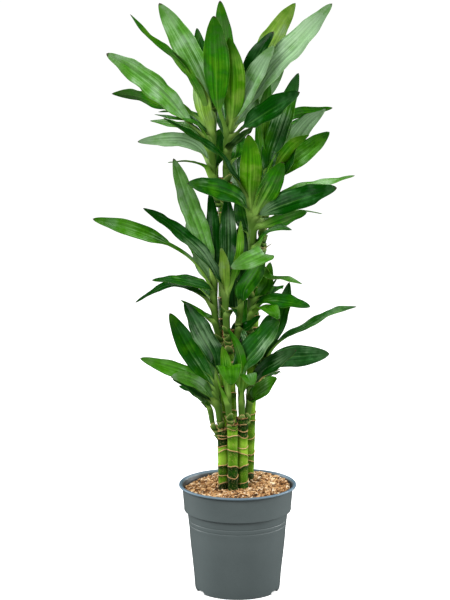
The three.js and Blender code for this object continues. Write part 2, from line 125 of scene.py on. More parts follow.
def spot(place: Point) -> Array:
    """The real place of a spot written as it appears from the front.

    Args:
        place: how far across and up it appears on the upright plane through the pot's axis, and
            how far it really lies behind that plane.

    Returns:
        The place in millimetres.
    """
    across, up, depth = place
    nearer = 1.0 - depth / EYE[1]
    return np.array([EYE[0] + (across - EYE[0]) * nearer, depth, EYE[2] + (up - EYE[2]) * nearer])


def along(points: Array, heights: Array) -> Array:
    """Places on the smooth line through the points of an upright piece, at the given heights.

    Args:
        points: the line's points, each higher than the one before.
        heights: the heights that are asked for.

    Returns:
        One row for each height.
    """
    last = len(points) - 1
    ahead = points[np.minimum(np.arange(last + 1) + 1, last)]
    behind = points[np.maximum(np.arange(last + 1) - 1, 0)]
    slope = (ahead - behind) / (ahead[:, 2:] - behind[:, 2:])
    at = np.clip(np.searchsorted(points[:, 2], heights, side="right") - 1, 0, last - 1)
    a, b = points[at], points[at + 1]
    span = b[:, 2:] - a[:, 2:]
    k = (np.asarray(heights)[:, None] - a[:, 2:]) / span
    return (
        a * (1 + 2 * k) * (1 - k) ** 2
        + slope[at] * span * k * (1 - k) ** 2
        + b * k * k * (3 - 2 * k)
        + slope[at + 1] * span * k * k * (k - 1)
    )


def rib_line(points: Array, steps: int) -> Array:
    """A centripetal spline through points, cut into steps of equal length.

    Args:
        points: the places that it passes.
        steps: how many steps it is cut into.

    Returns:
        steps + 1 rows.
    """
    cuts = 60  # fine steps between two points, before the line is measured
    ends = np.vstack([2 * points[0] - points[1], points, 2 * points[-1] - points[-2]])
    fine = []
    for p0, p1, p2, p3 in zip(ends, ends[1:], ends[2:], ends[3:]):
        d0, d1, d2 = (math.sqrt(np.linalg.norm(b - a)) for a, b in ((p0, p1), (p1, p2), (p2, p3)))
        t1 = ((p1 - p0) / d0 - (p2 - p0) / (d0 + d1) + (p2 - p1) / d1) * d1
        t2 = ((p2 - p1) / d1 - (p3 - p1) / (d1 + d2) + (p3 - p2) / d2) * d1
        k = np.linspace(0.0, 1.0, cuts)[:, None]
        square, cube = 3 * (p2 - p1) - 2 * t1 - t2, 2 * (p1 - p2) + t1 + t2
        fine.append(p1 + t1 * k + square * k**2 + cube * k**3)
    line = np.vstack(fine)
    run = np.concatenate([[0.0], np.cumsum(np.linalg.norm(np.diff(line, axis=0), axis=1))])
    wanted = np.linspace(0.0, run[-1], steps + 1)
    return np.column_stack([np.interp(wanted, run, line[:, axis]) for axis in range(3)])


# ------------------------ node trees


class Graph:
    """Adds and joins the nodes of one tree."""

    def __init__(self, tree: Tree) -> None:
        """Keeps the tree that the nodes go into."""
        self.tree = tree

    def add(self, kind: str, inputs: dict | None = None, **settings: object) -> Node:
        """Adds a node.

        Args:
            kind: the node's type name.
            inputs: for each input, by name or number, the socket it is joined to or its value.
            settings: the node's own properties.

        Returns:
            The node.
        """
        node = self.tree.nodes.new(kind)
        for key, value in settings.items():
            setattr(node, key, value)
        for key, value in (inputs or {}).items():
            if isinstance(value, Socket):
                self.tree.links.new(value, node.inputs[key])
            else:
                node.inputs[key].default_value = value
        return node

    def math(self, operation: str, *values: object) -> Socket:
        """The result of a sum on numbers or sockets."""
        node = self.add("ShaderNodeMath", dict(enumerate(values)), operation=operation)
        return node.outputs[0]

    def vector(self, operation: str, *values: object) -> Socket:
        """The result of a sum on vectors."""
        node = self.add("ShaderNodeVectorMath", dict(enumerate(values)), operation=operation)
        return node.outputs[0]

    def band(self, value: object, low: float, high: float, start: float = 0.0,
             end: float = 1.0) -> Socket:
        """A soft step.

        Args:
            value: the number or socket that it depends on.
            low: where the step starts.
            high: where it ends; it may lie under low.
            start: the result at low.
            end: the result at high.

        Returns:
            The socket of the result.
        """
        inputs = {0: value, 1: low, 2: high, 3: start, 4: end}
        node = self.add("ShaderNodeMapRange", inputs, interpolation_type="SMOOTHSTEP")
        return node.outputs[0]

    def mix(self, share: object, first: object, second: object) -> Socket:
        """Two colours mixed: the first where share is 0, and the second where it is 1."""
        return self.add("ShaderNodeMix", {0: share, 6: first, 7: second}, data_type="RGBA").outputs[2]

    def place(self) -> Socket:
        """The place on the plant, which patterns through the whole piece read."""
        return self.add("ShaderNodeTexCoord").outputs["Object"]

    def group(self, tree: Tree, inputs: dict[str, object]) -> Node:
        """Places a shader node group with its own values."""
        return self.add("ShaderNodeGroup", inputs, node_tree=tree)

    def scaled(self, vector: object, factor: object) -> Socket:
        """A vector or a colour times a number that may vary over the surface."""
        return self.add("ShaderNodeVectorMath", {0: vector, 3: factor}, operation="SCALE").outputs[0]

    def ramp(self, value: object, stops: Sequence[tuple[float, Sequence[float]]]) -> Socket:
        """A colour ramp.

        Args:
            value: where on the ramp the colour is read.
            stops: each stop's place from 0 to 1 and its linear colour.

        Returns:
            The socket of the colour.
        """
        node = self.add("ShaderNodeValToRGB", {0: value})
        elements = node.color_ramp.elements
        while len(elements) < len(stops):
            elements.new(1.0)
        for element, (place, colour) in zip(elements, stops):
            element.position = place
            element.color = colour
        return node.outputs[0]


def group_tree(name: str, kind: str, inputs: dict[str, tuple[str, object]],
               outputs: dict[str, str]) -> tuple[Graph, Node, Node]:
    """Starts a node group.

    Args:
        name: the group's name.
        kind: ShaderNodeTree or GeometryNodeTree.
        inputs: for each input, its socket type and its usual value, None for no value.
        outputs: for each output, its socket type.

    Returns:
        The graph to build in, the group's input node and its output node.
    """
    tree = bpy.data.node_groups.new(name, kind)
    for label, (socket, value) in inputs.items():
        made = tree.interface.new_socket(name=label, in_out="INPUT", socket_type=socket)
        if value is not None:
            made.default_value = value
    for label, socket in outputs.items():
        tree.interface.new_socket(name=label, in_out="OUTPUT", socket_type=socket)
    return Graph(tree), tree.nodes.new("NodeGroupInput"), tree.nodes.new("NodeGroupOutput")


def close_group(graph: Graph, out: Node, results: dict[str, Socket]) -> Tree:
    """Ends a node group.

    Args:
        graph: the group's graph.
        out: its output node.
        results: the socket that is joined to each output.

    Returns:
        The group's tree.
    """
    for label, socket in results.items():
        graph.tree.links.new(socket, out.inputs[label])
    return graph.tree


def worn(graph: Graph, mesh: Node, scale: float, detail: float, depth: object) -> Socket:
    """Moves a mesh's points about a little, so that it looks rough.

    Args:
        graph: the graph of a Geometry Nodes tree.
        mesh: the node that gives the mesh.
        scale: how fine the roughness is, in waves a metre.
        detail: how many finer waves ride on it.
        depth: how far the points may move, in metres.

    Returns:
        The socket of the rough mesh.
    """
    rough = graph.add("ShaderNodeTexNoise", {"Scale": scale, "Detail": detail})
    centred = graph.vector("SUBTRACT", rough.outputs["Color"], (0.5, 0.5, 0.5))
    moves = {"Geometry": mesh.outputs[0], "Offset": graph.scaled(centred, depth)}
    return graph.add("GeometryNodeSetPosition", moves).outputs[0]


def dressed(graph: Graph, out: Node, mesh: Socket, finish: Socket) -> Tree:
    """Ends a Geometry Nodes tree by giving its mesh a material.

    Args:
        graph: the tree's graph.
        out: its output node.
        mesh: the mesh, with its instances made real.
        finish: the socket of the material.

    Returns:
        The tree.
    """
    whole = graph.add("GeometryNodeSetMaterial", {"Geometry": mesh, "Material": finish})
    return close_group(graph, out, {"Geometry": whole.outputs[0]})


def veins_group() -> Tree:
    """Parallel veins: fine streaks that run the length of a leaf or stem.

    Returns:
        A shader group with the inputs UV, Count and Waver and the outputs Streak and Height.
    """
    graph, given, out = group_tree(
        "parallel_veins", "ShaderNodeTree",
        {"UV": ("NodeSocketVector", None), "Count": ("NodeSocketFloat", 30.0),
         "Waver": ("NodeSocketFloat", 1.5)},
        {"Streak": "NodeSocketFloat", "Height": "NodeSocketFloat"})
    count, waver = given.outputs["Count"], given.outputs["Waver"]
    scale = graph.add("ShaderNodeCombineXYZ", {0: count, 1: waver, 2: 1.0})
    place = graph.vector("MULTIPLY", given.outputs["UV"], scale.outputs[0])
    noises = []
    for size, detail, roughness, share in ((0.35, 2.0, 0.6, 0.6), (1.0, 3.0, 0.7, 0.4)):  # broad, fine
        streaks = graph.add("ShaderNodeTexNoise", {"Vector": place, "Scale": size, "Detail": detail,
                                                   "Roughness": roughness})
        noises.append(graph.math("MULTIPLY", streaks.outputs[0], share))
    streak = graph.math("ADD", *noises)
    sharp = graph.band(streak, 0.36, 0.66)
    return close_group(graph, out, {"Streak": sharp, "Height": streak})


def mottle_group() -> Tree:
    """Soft uneven patches, for colour that varies over any finish.

    Returns:
        A shader group with the inputs Place, Size and Contrast and the output Mask.
    """
    graph, given, out = group_tree(
        "mottle", "ShaderNodeTree",
        {"Place": ("NodeSocketVector", None), "Size": ("NodeSocketFloat", 40.0),
         "Contrast": ("NodeSocketFloat", 0.2)},
        {"Mask": "NodeSocketFloat"})
    place, size, contrast = (given.outputs[label] for label in ("Place", "Size", "Contrast"))
    patch = graph.add("ShaderNodeTexNoise", {"Vector": place, "Scale": size, "Detail": 4.0,
                                             "Roughness": 0.55})
    low = graph.math("SUBTRACT", 0.5, contrast)
    high = graph.math("ADD", 0.5, contrast)
    mask = graph.add("ShaderNodeMapRange", {0: patch.outputs[0], 1: low, 2: high})
    return close_group(graph, out, {"Mask": mask.outputs[0]})


VEINS = veins_group()
MOTTLE = mottle_group()


# ------------------------ finishes


def new_material(name: str, settings: dict[str, object]) -> tuple[Graph, Node, Material]:
    """Starts a material.

    Args:
        name: the material's name.
        settings: the shader's values that are the same all over the surface.

    Returns:
        The graph to build in, the shader and the material.
    """
    material = bpy.data.materials.new(name)
    material.use_nodes = True
    material.node_tree.nodes.clear()
    graph = Graph(material.node_tree)
    shader = graph.add("ShaderNodeBsdfPrincipled", settings)
    out = graph.add("ShaderNodeOutputMaterial")
    graph.tree.links.new(shader.outputs[0], out.inputs[0])
    return graph, shader, material


def set_surface(graph: Graph, shader: Node, colour: Socket,
                height: Socket, strength: float, depth: float) -> None:
    """Joins a colour and a height to a shader.

    Args:
        graph: the material's graph.
        shader: its Principled BSDF.
        colour: the base colour.
        height: the relief, from 0 to 1.
        strength: how much of the relief shows.
        depth: the relief's real depth in millimetres.
    """
    bump = graph.add("ShaderNodeBump", {"Strength": strength, "Distance": depth * MM, "Height": height})
    graph.tree.links.new(colour, shader.inputs["Base Color"])
    graph.tree.links.new(bump.outputs[0], shader.inputs["Normal"])


def mottled(graph: Graph, place: Socket, size: float, contrast: float) -> Socket:
    """A mask of soft patches, size waves a metre."""
    return graph.group(MOTTLE, {"Place": place, "Size": size, "Contrast": contrast}).outputs[0]


def tone_of(graph: Graph, name: str, patch: Socket, drift: float) -> Socket:
    """The tone that a piece stores under a name, shifted up and down a little by soft patches.

    Args:
        graph: the material's graph.
        name: the attribute's name.
        patch: the mask of the patches.
        drift: how far apart the highest and the lowest shift are.

    Returns:
        The socket of the shifted tone.
    """
    tone = graph.add("ShaderNodeAttribute", attribute_name=name).outputs["Fac"]
    return graph.math("ADD", tone, graph.math("MULTIPLY_ADD", patch, drift, -drift / 2))


def dulled(graph: Graph, shader: Node, patch: Socket, spread: float, least: float) -> None:
    """Lets soft patches vary a shader's roughness by spread, from the least on."""
    dull = graph.math("MULTIPLY_ADD", patch, spread, least)
    graph.tree.links.new(dull, shader.inputs["Roughness"])


class Tone(Enum):
    """How light a leaf looks, as its place in a finish's row of colours; the pale and frosty tones are
    partly the leaf's own colour and partly painted reflection of gloss on its waxy face.
    """

    DARK = 0.0
    DULL = 0.15
    MID = 0.3
    BRIGHT = 0.45
    PALE = 0.6
    FROST = 0.75
    DRY = 1.0


@dataclass(frozen=True)
class LeafFinish:
    """The surface of one side of a leaf: waxy, with parallel veins and a paler midrib."""

    name: str
    tones: tuple[Colour, ...]  # one colour for each Tone
    rib: Colour
    rib_width: float  # as a share of half the leaf's width
    foot: Colour  # the colour near the stem
    foot_reach: float  # as a share of the leaf's length
    foot_share: float
    painted_sheen: Colour  # a painted highlight: pale patches along the veins that stand in for gloss on the waxy face
    painted_sheen_share: float
    roughness: float
    vein_depth: float
    tip_light: float = 0.6  # how bright the last stretch is beside the rest
    sheath: Colour = (68, 102, 32)
    tip: Colour = (44, 42, 16)
    veins: float = 46.0  # how many run side by side, about
    vein_light: float = 0.72  # how much lighter the palest vein is than the darkest
    vein_dark: float = 0.62  # how light the darkest one is
    drift: float = 0.24  # how far the tone shifts from patch to patch
    frost_end: float = 0.88  # the tone up to which frosty leaves keep clear of the dry colour

    def material(self) -> Material:
        """Builds the material.

        Returns:
            A material that reads the UV map "leaf" and the attribute "tone".
        """
        graph, shader, material = new_material(self.name, {"IOR": 1.45, "Specular IOR Level": 0.12})
        uv = graph.add("ShaderNodeUVMap", uv_map="leaf").outputs[0]
        across, along_leaf, _ = graph.add("ShaderNodeSeparateXYZ", {0: uv}).outputs
        off_rib = graph.math("ABSOLUTE", graph.math("MULTIPLY_ADD", across, 2.0, -1.0))
        place = graph.place()
        patch = mottled(graph, place, 26.0, 0.16)
        veins = graph.group(VEINS, {"UV": uv, "Count": self.veins, "Waver": 1.3})

        # the pale and frosty stops are partly painted reflection of gloss on the waxy face
        stops = [(each.value, linear(*colour)) for each, colour in zip(Tone, self.tones)]
        stops.insert(-1, (self.frost_end, stops[-2][1]))
        colour = graph.ramp(tone_of(graph, "tone", patch, self.drift), stops)
        fade = graph.band(along_leaf, 0.7, 0.98, 1.0, 0.2)  # the veins run together at the tip
        off_mean = graph.math("SUBTRACT", veins.outputs["Streak"], 0.5)
        streak = graph.math("MULTIPLY_ADD", off_mean, fade, 0.5)
        light = graph.math("MULTIPLY_ADD", streak, self.vein_light, self.vein_dark)
        light = graph.math("MULTIPLY", light, graph.band(along_leaf, 0.66, 0.98, 1.0, self.tip_light))
        colour = graph.scaled(colour, light)
        # painted highlight: pale patches mixed in where the waxy face would shine
        colour = graph.mix(self._painted_sheen(graph, streak, place, along_leaf), colour, linear(*self.painted_sheen))

        rib = graph.math("SUBTRACT", 1.0, graph.band(off_rib, self.rib_width * 0.3, self.rib_width))
        rib = graph.math("MULTIPLY", rib, graph.band(along_leaf, 0.9, 0.2, 0.0, 0.5))
        foot = graph.band(along_leaf, self.foot_reach, 0.05, 0.0, self.foot_share)
        sheath = graph.band(along_leaf, 0.1, -0.03)
        margin = graph.band(off_rib, 0.96, 1.0, 0.0, 0.3)
        ragged = graph.math("ADD", along_leaf, graph.math("MULTIPLY", patch, 0.02))
        dried = graph.band(ragged, 0.985, 1.006)
        for mask, over in ((rib, self.rib), (foot, self.foot), (sheath, self.sheath),
                           (margin, self.rib), (dried, self.tip)):
            colour = graph.mix(mask, colour, linear(*over))

        dulled(graph, shader, patch, 0.14, self.roughness - 0.05)
        set_surface(graph, shader, colour, veins.outputs["Height"], self.vein_depth, 0.6)
        return material

    def _painted_sheen(self, graph: Graph, streak: Socket, place: Socket, along_leaf: Socket) -> Socket:
        """Where the painted highlight shows: in clouds along the pale veins, less on dark leaves and tips.

        Args:
            graph: the material's graph.
            streak: how pale the veins are.
            place: the place on the plant.
            along_leaf: the share of the leaf's length.

        Returns:
            The socket of the bloom's mask.
        """
        cloud = mottled(graph, place, 11.0, 0.2)
        tone = graph.add("ShaderNodeAttribute", attribute_name="tone").outputs["Fac"]
        painted_sheen_mask = graph.math("MULTIPLY_ADD", streak, 0.42, cloud)
        painted_sheen_mask = graph.band(painted_sheen_mask, 0.74, 1.2, 0.0, self.painted_sheen_share)
        painted_sheen_mask = graph.math("MULTIPLY", painted_sheen_mask, graph.band(tone, 0.0, 0.28, 0.45, 1.0))
        return graph.math("MULTIPLY", painted_sheen_mask, graph.band(along_leaf, 0.6, 0.94, 1.0, 0.15))


@dataclass(frozen=True)
class StalkFinish:
    """A green or tan surface that runs lengthwise: a stem, a cane, a scar or a dry husk."""

    name: str
    tones: tuple[tuple[float, Colour], ...]  # places from 0 to 1 and their colours
    roughness: float
    streak_count: float  # how many streaks run side by side, about
    streak_share: float  # how much lighter the palest streak is than the darkest
    relief: float  # how much of the streaks' relief shows
    depth: float  # the relief's real depth in millimetres
    speck: Colour = (196, 170, 110)
    speck_share: float = 0.0
    drift: float = 0.16  # how far the tone shifts from patch to patch

    def material(self) -> Material:
        """Builds the material.

        Returns:
            A material that reads the UV map "leaf" and the attribute "tone".
        """
        graph, shader, material = new_material(self.name, {"IOR": 1.45, "Specular IOR Level": 0.16})
        uv = graph.add("ShaderNodeUVMap", uv_map="leaf").outputs[0]
        place = graph.place()
        patch = mottled(graph, place, 70.0, 0.2)
        veins = graph.group(VEINS, {"UV": uv, "Count": self.streak_count, "Waver": 2.0})
        stops = [(at, linear(*colour)) for at, colour in self.tones]
        colour = graph.ramp(tone_of(graph, "tone", patch, self.drift), stops)
        spread = self.streak_share
        light = graph.math("MULTIPLY_ADD", veins.outputs["Streak"], spread, 1.0 - spread / 2)
        colour = graph.scaled(colour, light)
        speck = mottled(graph, place, 420.0, 0.1)
        shown = graph.band(speck, 0.93, 1.0, 0.0, self.speck_share)
        colour = graph.mix(shown, colour, linear(*self.speck))
        dulled(graph, shader, patch, 0.12, self.roughness - 0.06)
        height = graph.math("ADD", veins.outputs["Height"], graph.math("MULTIPLY", speck, 0.3))
        set_surface(graph, shader, colour, height, self.relief, self.depth)
        return material


@dataclass(frozen=True)
class GrainFinish:
    """A loose, grainy surface: soil, chips of bark and fibres of husk."""

    name: str
    tones: tuple[tuple[float, Colour], ...]
    grain: float  # how fine the grain is, in waves a metre
    tone_name: str = ""  # the attribute that picks the colour; none for the grain itself
    drift: float = 0.3  # how far that tone shifts from grain to grain

    def material(self) -> Material:
        """Builds the material.

        Returns:
            A material with the grain in its colour and its relief.
        """
        graph, shader, material = new_material(self.name, {"Roughness": 0.9, "Specular IOR Level": 0.2})
        patch = mottled(graph, graph.place(), self.grain, 0.22)
        pick = tone_of(graph, self.tone_name, patch, self.drift) if self.tone_name else patch
        colour = graph.ramp(pick, [(at, linear(*colour)) for at, colour in self.tones])
        set_surface(graph, shader, colour, patch, 0.7, 0.6)
        return material


@dataclass(frozen=True)
class PlasticFinish:
    """Matt moulded plastic with a fine grain, with a painted pale highlight along the top of the lip and
    painted shade on the inner wall over the soil.
    """

    name: str
    body: Colour
    shade: Colour
    lip: Colour
    lip_highlight_from: float  # the height in millimetres where the lip's painted highlight starts
    lip_highlight_to: float  # the height from where it shows in full
    inside: Colour  # painted shade on the inner wall just over the soil
    inside_shade_from: float  # the height where that wall starts
    inside_shade_radius: float  # the radius that it lies within

    def material(self) -> Material:
        """Builds the material.

        Returns:
            A material that tells lip, wall and inside apart by where they lie.
        """
        graph, shader, material = new_material(self.name, {"IOR": 1.48})
        place = graph.place()
        across, deep, height = graph.add("ShaderNodeSeparateXYZ", {0: place}).outputs
        cloud = mottled(graph, place, 9.0, 0.25)
        speckle = mottled(graph, place, 700.0, 0.3)
        colour = graph.mix(cloud, linear(*self.body), linear(*self.shade))
        colour = graph.scaled(colour, graph.math("MULTIPLY_ADD", speckle, 0.12, 0.94))
        # painted highlight: a paler, bluer band along the top of the lip
        lip = graph.band(height, self.lip_highlight_from * MM, self.lip_highlight_to * MM, 0.0, 0.8)
        colour = graph.mix(lip, colour, linear(*self.lip))
        # painted shade: the inner wall over the soil is darkened as if in shadow
        radius = graph.math("MULTIPLY_ADD", deep, deep, graph.math("MULTIPLY", across, across))
        radius = graph.math("SQRT", radius)
        within = graph.band(radius, self.inside_shade_radius * MM, (self.inside_shade_radius - 0.8) * MM, 0.0, 0.85)
        over = graph.band(height, self.inside_shade_from * MM, (self.inside_shade_from + 4.0) * MM)
        colour = graph.mix(graph.math("MULTIPLY", within, over), colour, linear(*self.inside))
        dulled(graph, shader, cloud, 0.1, 0.42)
        set_surface(graph, shader, colour, speckle, 0.25, 0.25)
        return material


# the sheen colours are painted highlights; the pale and frosty tones are partly painted reflection of gloss
UPPER = LeafFinish(
    name="leaf_upper", rib=(92, 134, 60), rib_width=0.06, foot=(52, 88, 30), foot_reach=0.16,
    foot_share=0.4, painted_sheen=(146, 182, 136), painted_sheen_share=0.8, roughness=0.28, vein_depth=0.5,
    tones=((6, 60, 2), (44, 94, 42), (20, 84, 3), (58, 122, 8), (86, 140, 56), (132, 168, 124),
           (150, 126, 80)))
UNDER = LeafFinish(
    name="leaf_under", rib=(118, 156, 62), rib_width=0.05, foot=(132, 164, 78), foot_reach=0.4,
    foot_share=0.62, painted_sheen=(150, 188, 92), painted_sheen_share=0.34, roughness=0.4, vein_depth=0.55,
    tones=((16, 60, 1), (72, 110, 52), (40, 118, 1), (74, 136, 4), (122, 162, 56), (134, 168, 110),
           (150, 126, 80)))
STEM = StalkFinish(
    name="shoot_stem", roughness=0.5, streak_count=24.0, streak_share=0.4, relief=0.35, depth=0.6,
    tones=((0.0, (14, 36, 4)), (0.3, (48, 84, 18)), (0.5, (78, 114, 40)), (0.78, (134, 160, 84)),
           (0.92, (186, 162, 104)), (1.0, (206, 176, 118))))
HUSK = StalkFinish(
    name="dry_husk", roughness=0.85, streak_count=18.0, streak_share=0.5, relief=0.6, depth=0.8,
    tones=((0.0, (78, 50, 26)), (0.5, (142, 104, 62)), (1.0, (196, 162, 110))))
CANE = StalkFinish(
    name="cane_green", roughness=0.36, streak_count=40.0, streak_share=0.22, relief=0.25, depth=0.5,
    speck_share=0.25,
    tones=((0.0, (6, 30, 1)), (0.3, (20, 62, 3)), (0.65, (84, 132, 16)), (1.0, (144, 188, 54))))
SCAR = StalkFinish(
    name="leaf_scar", roughness=0.8, streak_count=30.0, streak_share=0.4, relief=0.6, depth=0.8,
    tones=((0.0, (128, 92, 50)), (0.5, (190, 156, 102)), (1.0, (222, 194, 140))))
BARK = GrainFinish(
    name="bark_chip", grain=260.0, tone_name="chip_tone",
    tones=((0.0, (44, 26, 12)), (0.25, (132, 90, 52)), (0.55, (184, 140, 92)), (0.85, (216, 176, 126)),
           (1.0, (244, 226, 196))))
# dark loam: partly the soil's own colour and partly painted shade for the gaps between the chips
LOAM = GrainFinish(
    name="loam", grain=180.0, tones=((0.0, (50, 32, 20)), (0.5, (112, 78, 50)), (1.0, (164, 122, 82))))
# the lip colour is a painted highlight, and the inside colour is painted shade
PLASTIC = PlasticFinish(
    name="slate_plastic", body=(86, 96, 96), shade=(77, 87, 87), lip=(98, 124, 142),
    lip_highlight_from=219.0, lip_highlight_to=222.0, inside=(30, 38, 42), inside_shade_from=204.0, inside_shade_radius=113.6)


# ------------------------ building meshes


class Draft:
    """Gathers the points and faces of one piece, each part with its own finish and tone."""

    def __init__(self) -> None:
        """Starts an empty piece."""
        self.points: list[Array] = []
        self.uvs: list[Array] = []
        self.tones: list[Array] = []
        self.faces: list[list[int]] = []
        self.finishes: list[int] = []
        self.count = 0

    def put(self, points: Array, uvs: Array, tone: float | Array, faces: list[Sequence[int]],
            finish: int | list[int]) -> None:
        """Adds a part.

        Args:
            points: its points in millimetres, one row each.
            uvs: the place of each point on the UV map.
            tone: the tone of the part, or of each point.
            faces: its faces, each a row of point numbers in the part.
            finish: the number of its finish, or one number for each face.
        """
        self.points.append(points)
        self.uvs.append(uvs)
        self.tones.append(np.broadcast_to(np.asarray(tone, float), (len(points),)))
        self.faces += [[self.count + int(k) for k in face] for face in faces]
        self.finishes += finish if isinstance(finish, list) else [finish] * len(faces)
        self.count += len(points)

    def sleeve(self, rings: Array, tone: float | Array, finish: int, ends: bool = True,
               reach: Array | None = None) -> None:
        """Adds a closed tube through rings of points that run anticlockwise, seen from its far end.

        Args:
            rings: an array of rings by points by 3.
            tone: the tube's tone, or one tone for each ring.
            finish: the number of its finish.
            ends: whether its two ends are closed.
            reach: the height of each ring on the UV map; even steps if it isn't given.
        """
        many, around = rings.shape[:2]
        number = np.arange(many * around).reshape(many, around)
        faces = []
        for i in range(many - 1):
            for j in range(around):
                k = (j + 1) % around
                faces.append((number[i, j], number[i, k], number[i + 1, k], number[i + 1, j]))
        if ends:
            faces.append(tuple(number[0][::-1]))
            faces.append(tuple(number[-1]))
        turn = np.abs(np.linspace(-1.0, 1.0, around, endpoint=False))
        height = np.linspace(0.0, 1.0, many) if reach is None else reach
        uvs = np.stack([np.tile(turn, (many, 1)), np.repeat(height[:, None], around, axis=1)], axis=2)
        tones = np.repeat(np.broadcast_to(np.asarray(tone, float), (many,)), around)
        self.put(rings.reshape(-1, 3), uvs.reshape(-1, 2), tones, faces, finish)

    def build(self, name: str, materials: Sequence[Material],
              smooth_up_to: float = 180.0) -> Piece:
        """Makes the piece.

        Args:
            name: the piece's name.
            materials: its materials, in the order of the finish numbers.
            smooth_up_to: the largest angle in degrees between faces that is shaded smooth.

        Returns:
            The piece, an object at the origin.
        """
        mesh = bpy.data.meshes.new(name)
        mesh.from_pydata((np.vstack(self.points) * MM).tolist(), [], self.faces)
        for material in materials:
            mesh.materials.append(material)
        mesh.polygons.foreach_set("material_index", np.array(self.finishes, np.int32))
        corners = np.empty(len(mesh.loops), np.int32)
        mesh.loops.foreach_get("vertex_index", corners)
        layer = mesh.uv_layers.new(name="leaf")
        layer.data.foreach_set("uv", np.vstack(self.uvs)[corners].astype(np.float32).ravel())
        tone = mesh.attributes.new("tone", "FLOAT", "POINT")
        tone.data.foreach_set("value", np.concatenate(self.tones).astype(np.float32))
        mesh.shade_smooth()
        if smooth_up_to < 180.0:
            mesh.set_sharp_from_angle(angle=math.radians(smooth_up_to))
        mesh.update()
        return placed(name, mesh)


def placed(name: str, data: object) -> Piece:
    """Adds an object to the scene, at the origin.

    Args:
        name: its name.
        data: its mesh, lamp or camera.

    Returns:
        The object.
    """
    piece = bpy.data.objects.new(name, data)
    bpy.context.scene.collection.objects.link(piece)
    return piece


def turns(sides: int) -> Array:
    """The angles of the corners of a ring with so many sides, in radians."""
    return np.linspace(0.0, 2 * math.pi, sides, endpoint=False)


def spokes(angle: float) -> tuple[Array, Array]:
    """The level directions outwards and sideways at an angle in radians."""
    out = np.array([math.cos(angle), math.sin(angle), 0.0])
    return out, np.array([-out[1], out[0], 0.0])


def ring(centre: Array, radius: float | Array, sides: int) -> Array:
    """A level ring of points, anticlockwise seen from above.

    Args:
        centre: its middle.
        radius: its radius, or one for each point.
        sides: how many points it has.

    Returns:
        One row for each point.
    """
    turn = turns(sides)
    return centre + np.stack([radius * np.cos(turn), radius * np.sin(turn), np.zeros(sides)], axis=1)


def applied(piece: Piece) -> bpy.types.Mesh:
    """Turns a piece with its modifiers into a plain mesh with none.

    Args:
        piece: the piece.

    Returns:
        Its new mesh.
    """
    graph = bpy.context.evaluated_depsgraph_get()
    mesh = bpy.data.meshes.new_from_object(piece.evaluated_get(graph), preserve_all_data_layers=True,
                                           depsgraph=graph)
    piece.modifiers.clear()
    old = piece.data
    mesh.name = old.name
    piece.data = mesh
    bpy.data.meshes.remove(old)
    return mesh


def run_nodes(piece: Piece, tree: Tree, values: dict[str, object]) -> None:
    """Runs a Geometry Nodes tree on a piece once and keeps the result as its plain mesh.

    Args:
        piece: the object that the tree starts from.
        tree: the tree.
        values: the tree's inputs by name.
    """
    modifier = piece.modifiers.new(tree.name, "NODES")
    modifier.node_group = tree
    for item in tree.interface.items_tree:
        if item.item_type == "SOCKET" and item.in_out == "INPUT" and item.name in values:
            modifier[item.identifier] = values[item.name]
    applied(piece)


def hand_over(piece: Piece, slot: str, *nodes: str) -> None:
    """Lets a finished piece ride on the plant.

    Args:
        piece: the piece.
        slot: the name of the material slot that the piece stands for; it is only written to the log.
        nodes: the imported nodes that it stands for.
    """
    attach(piece, BODY)
    if nodes:
        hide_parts(*nodes)
    LOG.info("%s: %d faces, slot %s, stands for %s", piece.name, len(piece.data.polygons), slot, nodes)


# ------------------------ leaves and shoots

UPPER_SIDE, UNDER_SIDE, STEM_SIDE = range(3)

STEM_STEP, STEM_SIDES = 4.0, 20  # from ring to ring up a stem, and the points of each
STEM_TONE = 0.45
WAVE = 0.045  # how far a margin waves, as a share of the leaf's width
SEGMENT = 30.0  # half a wave of the margin
CURL = 0.05  # how far a margin curls up or down by chance, as a share of the width
PLEAT = 0.22  # the depth of the pleats between the veins
NECK_WIDTH = 13.0
ROW_STEP = 3.6  # from one row of points to the next along a leaf
HALF_COLUMNS = 12  # strips from a leaf's midrib to its margin
MARGIN_THICK, MID_THICK = 0.26, 0.24  # half the blade's thickness, and what the middle adds
SHEATH_LENGTH = 30.0
SHEATH_TURN = 2.35  # how far a sheath reaches round its stem to each side, in radians
SHEATH_SUNK = 0.6  # how deep the foot of a sheath lies in the stem
SHEATH_PROUD = 0.9  # how far the top of a sheath stands off the stem
SHEATH_RELEASE = 42.0  # the length over which a leaf leaves its stem
CLASP_STEP = 8.5  # from one old leaf's foot to the next, up a bare stem
CLASP_SIDES = 28
CLASP_HEIGHT, CLASP_POINT = 7.5, 11.0  # its height, and how much higher its pointed lip is
CLASP_FLARE = 3.6  # how far that lip leans out
CLASP_LIPS = (  # share of its height, how far it stands off the stem, and tone
    (0.0, -0.7, 0.05), (0.3, 0.4, 0.3), (0.7, 0.9, 0.52), (0.93, 1.5, 0.7), (1.0, 1.5, 0.97),
    (0.95, 0.8, 0.9), (0.5, -0.5, 0.1))


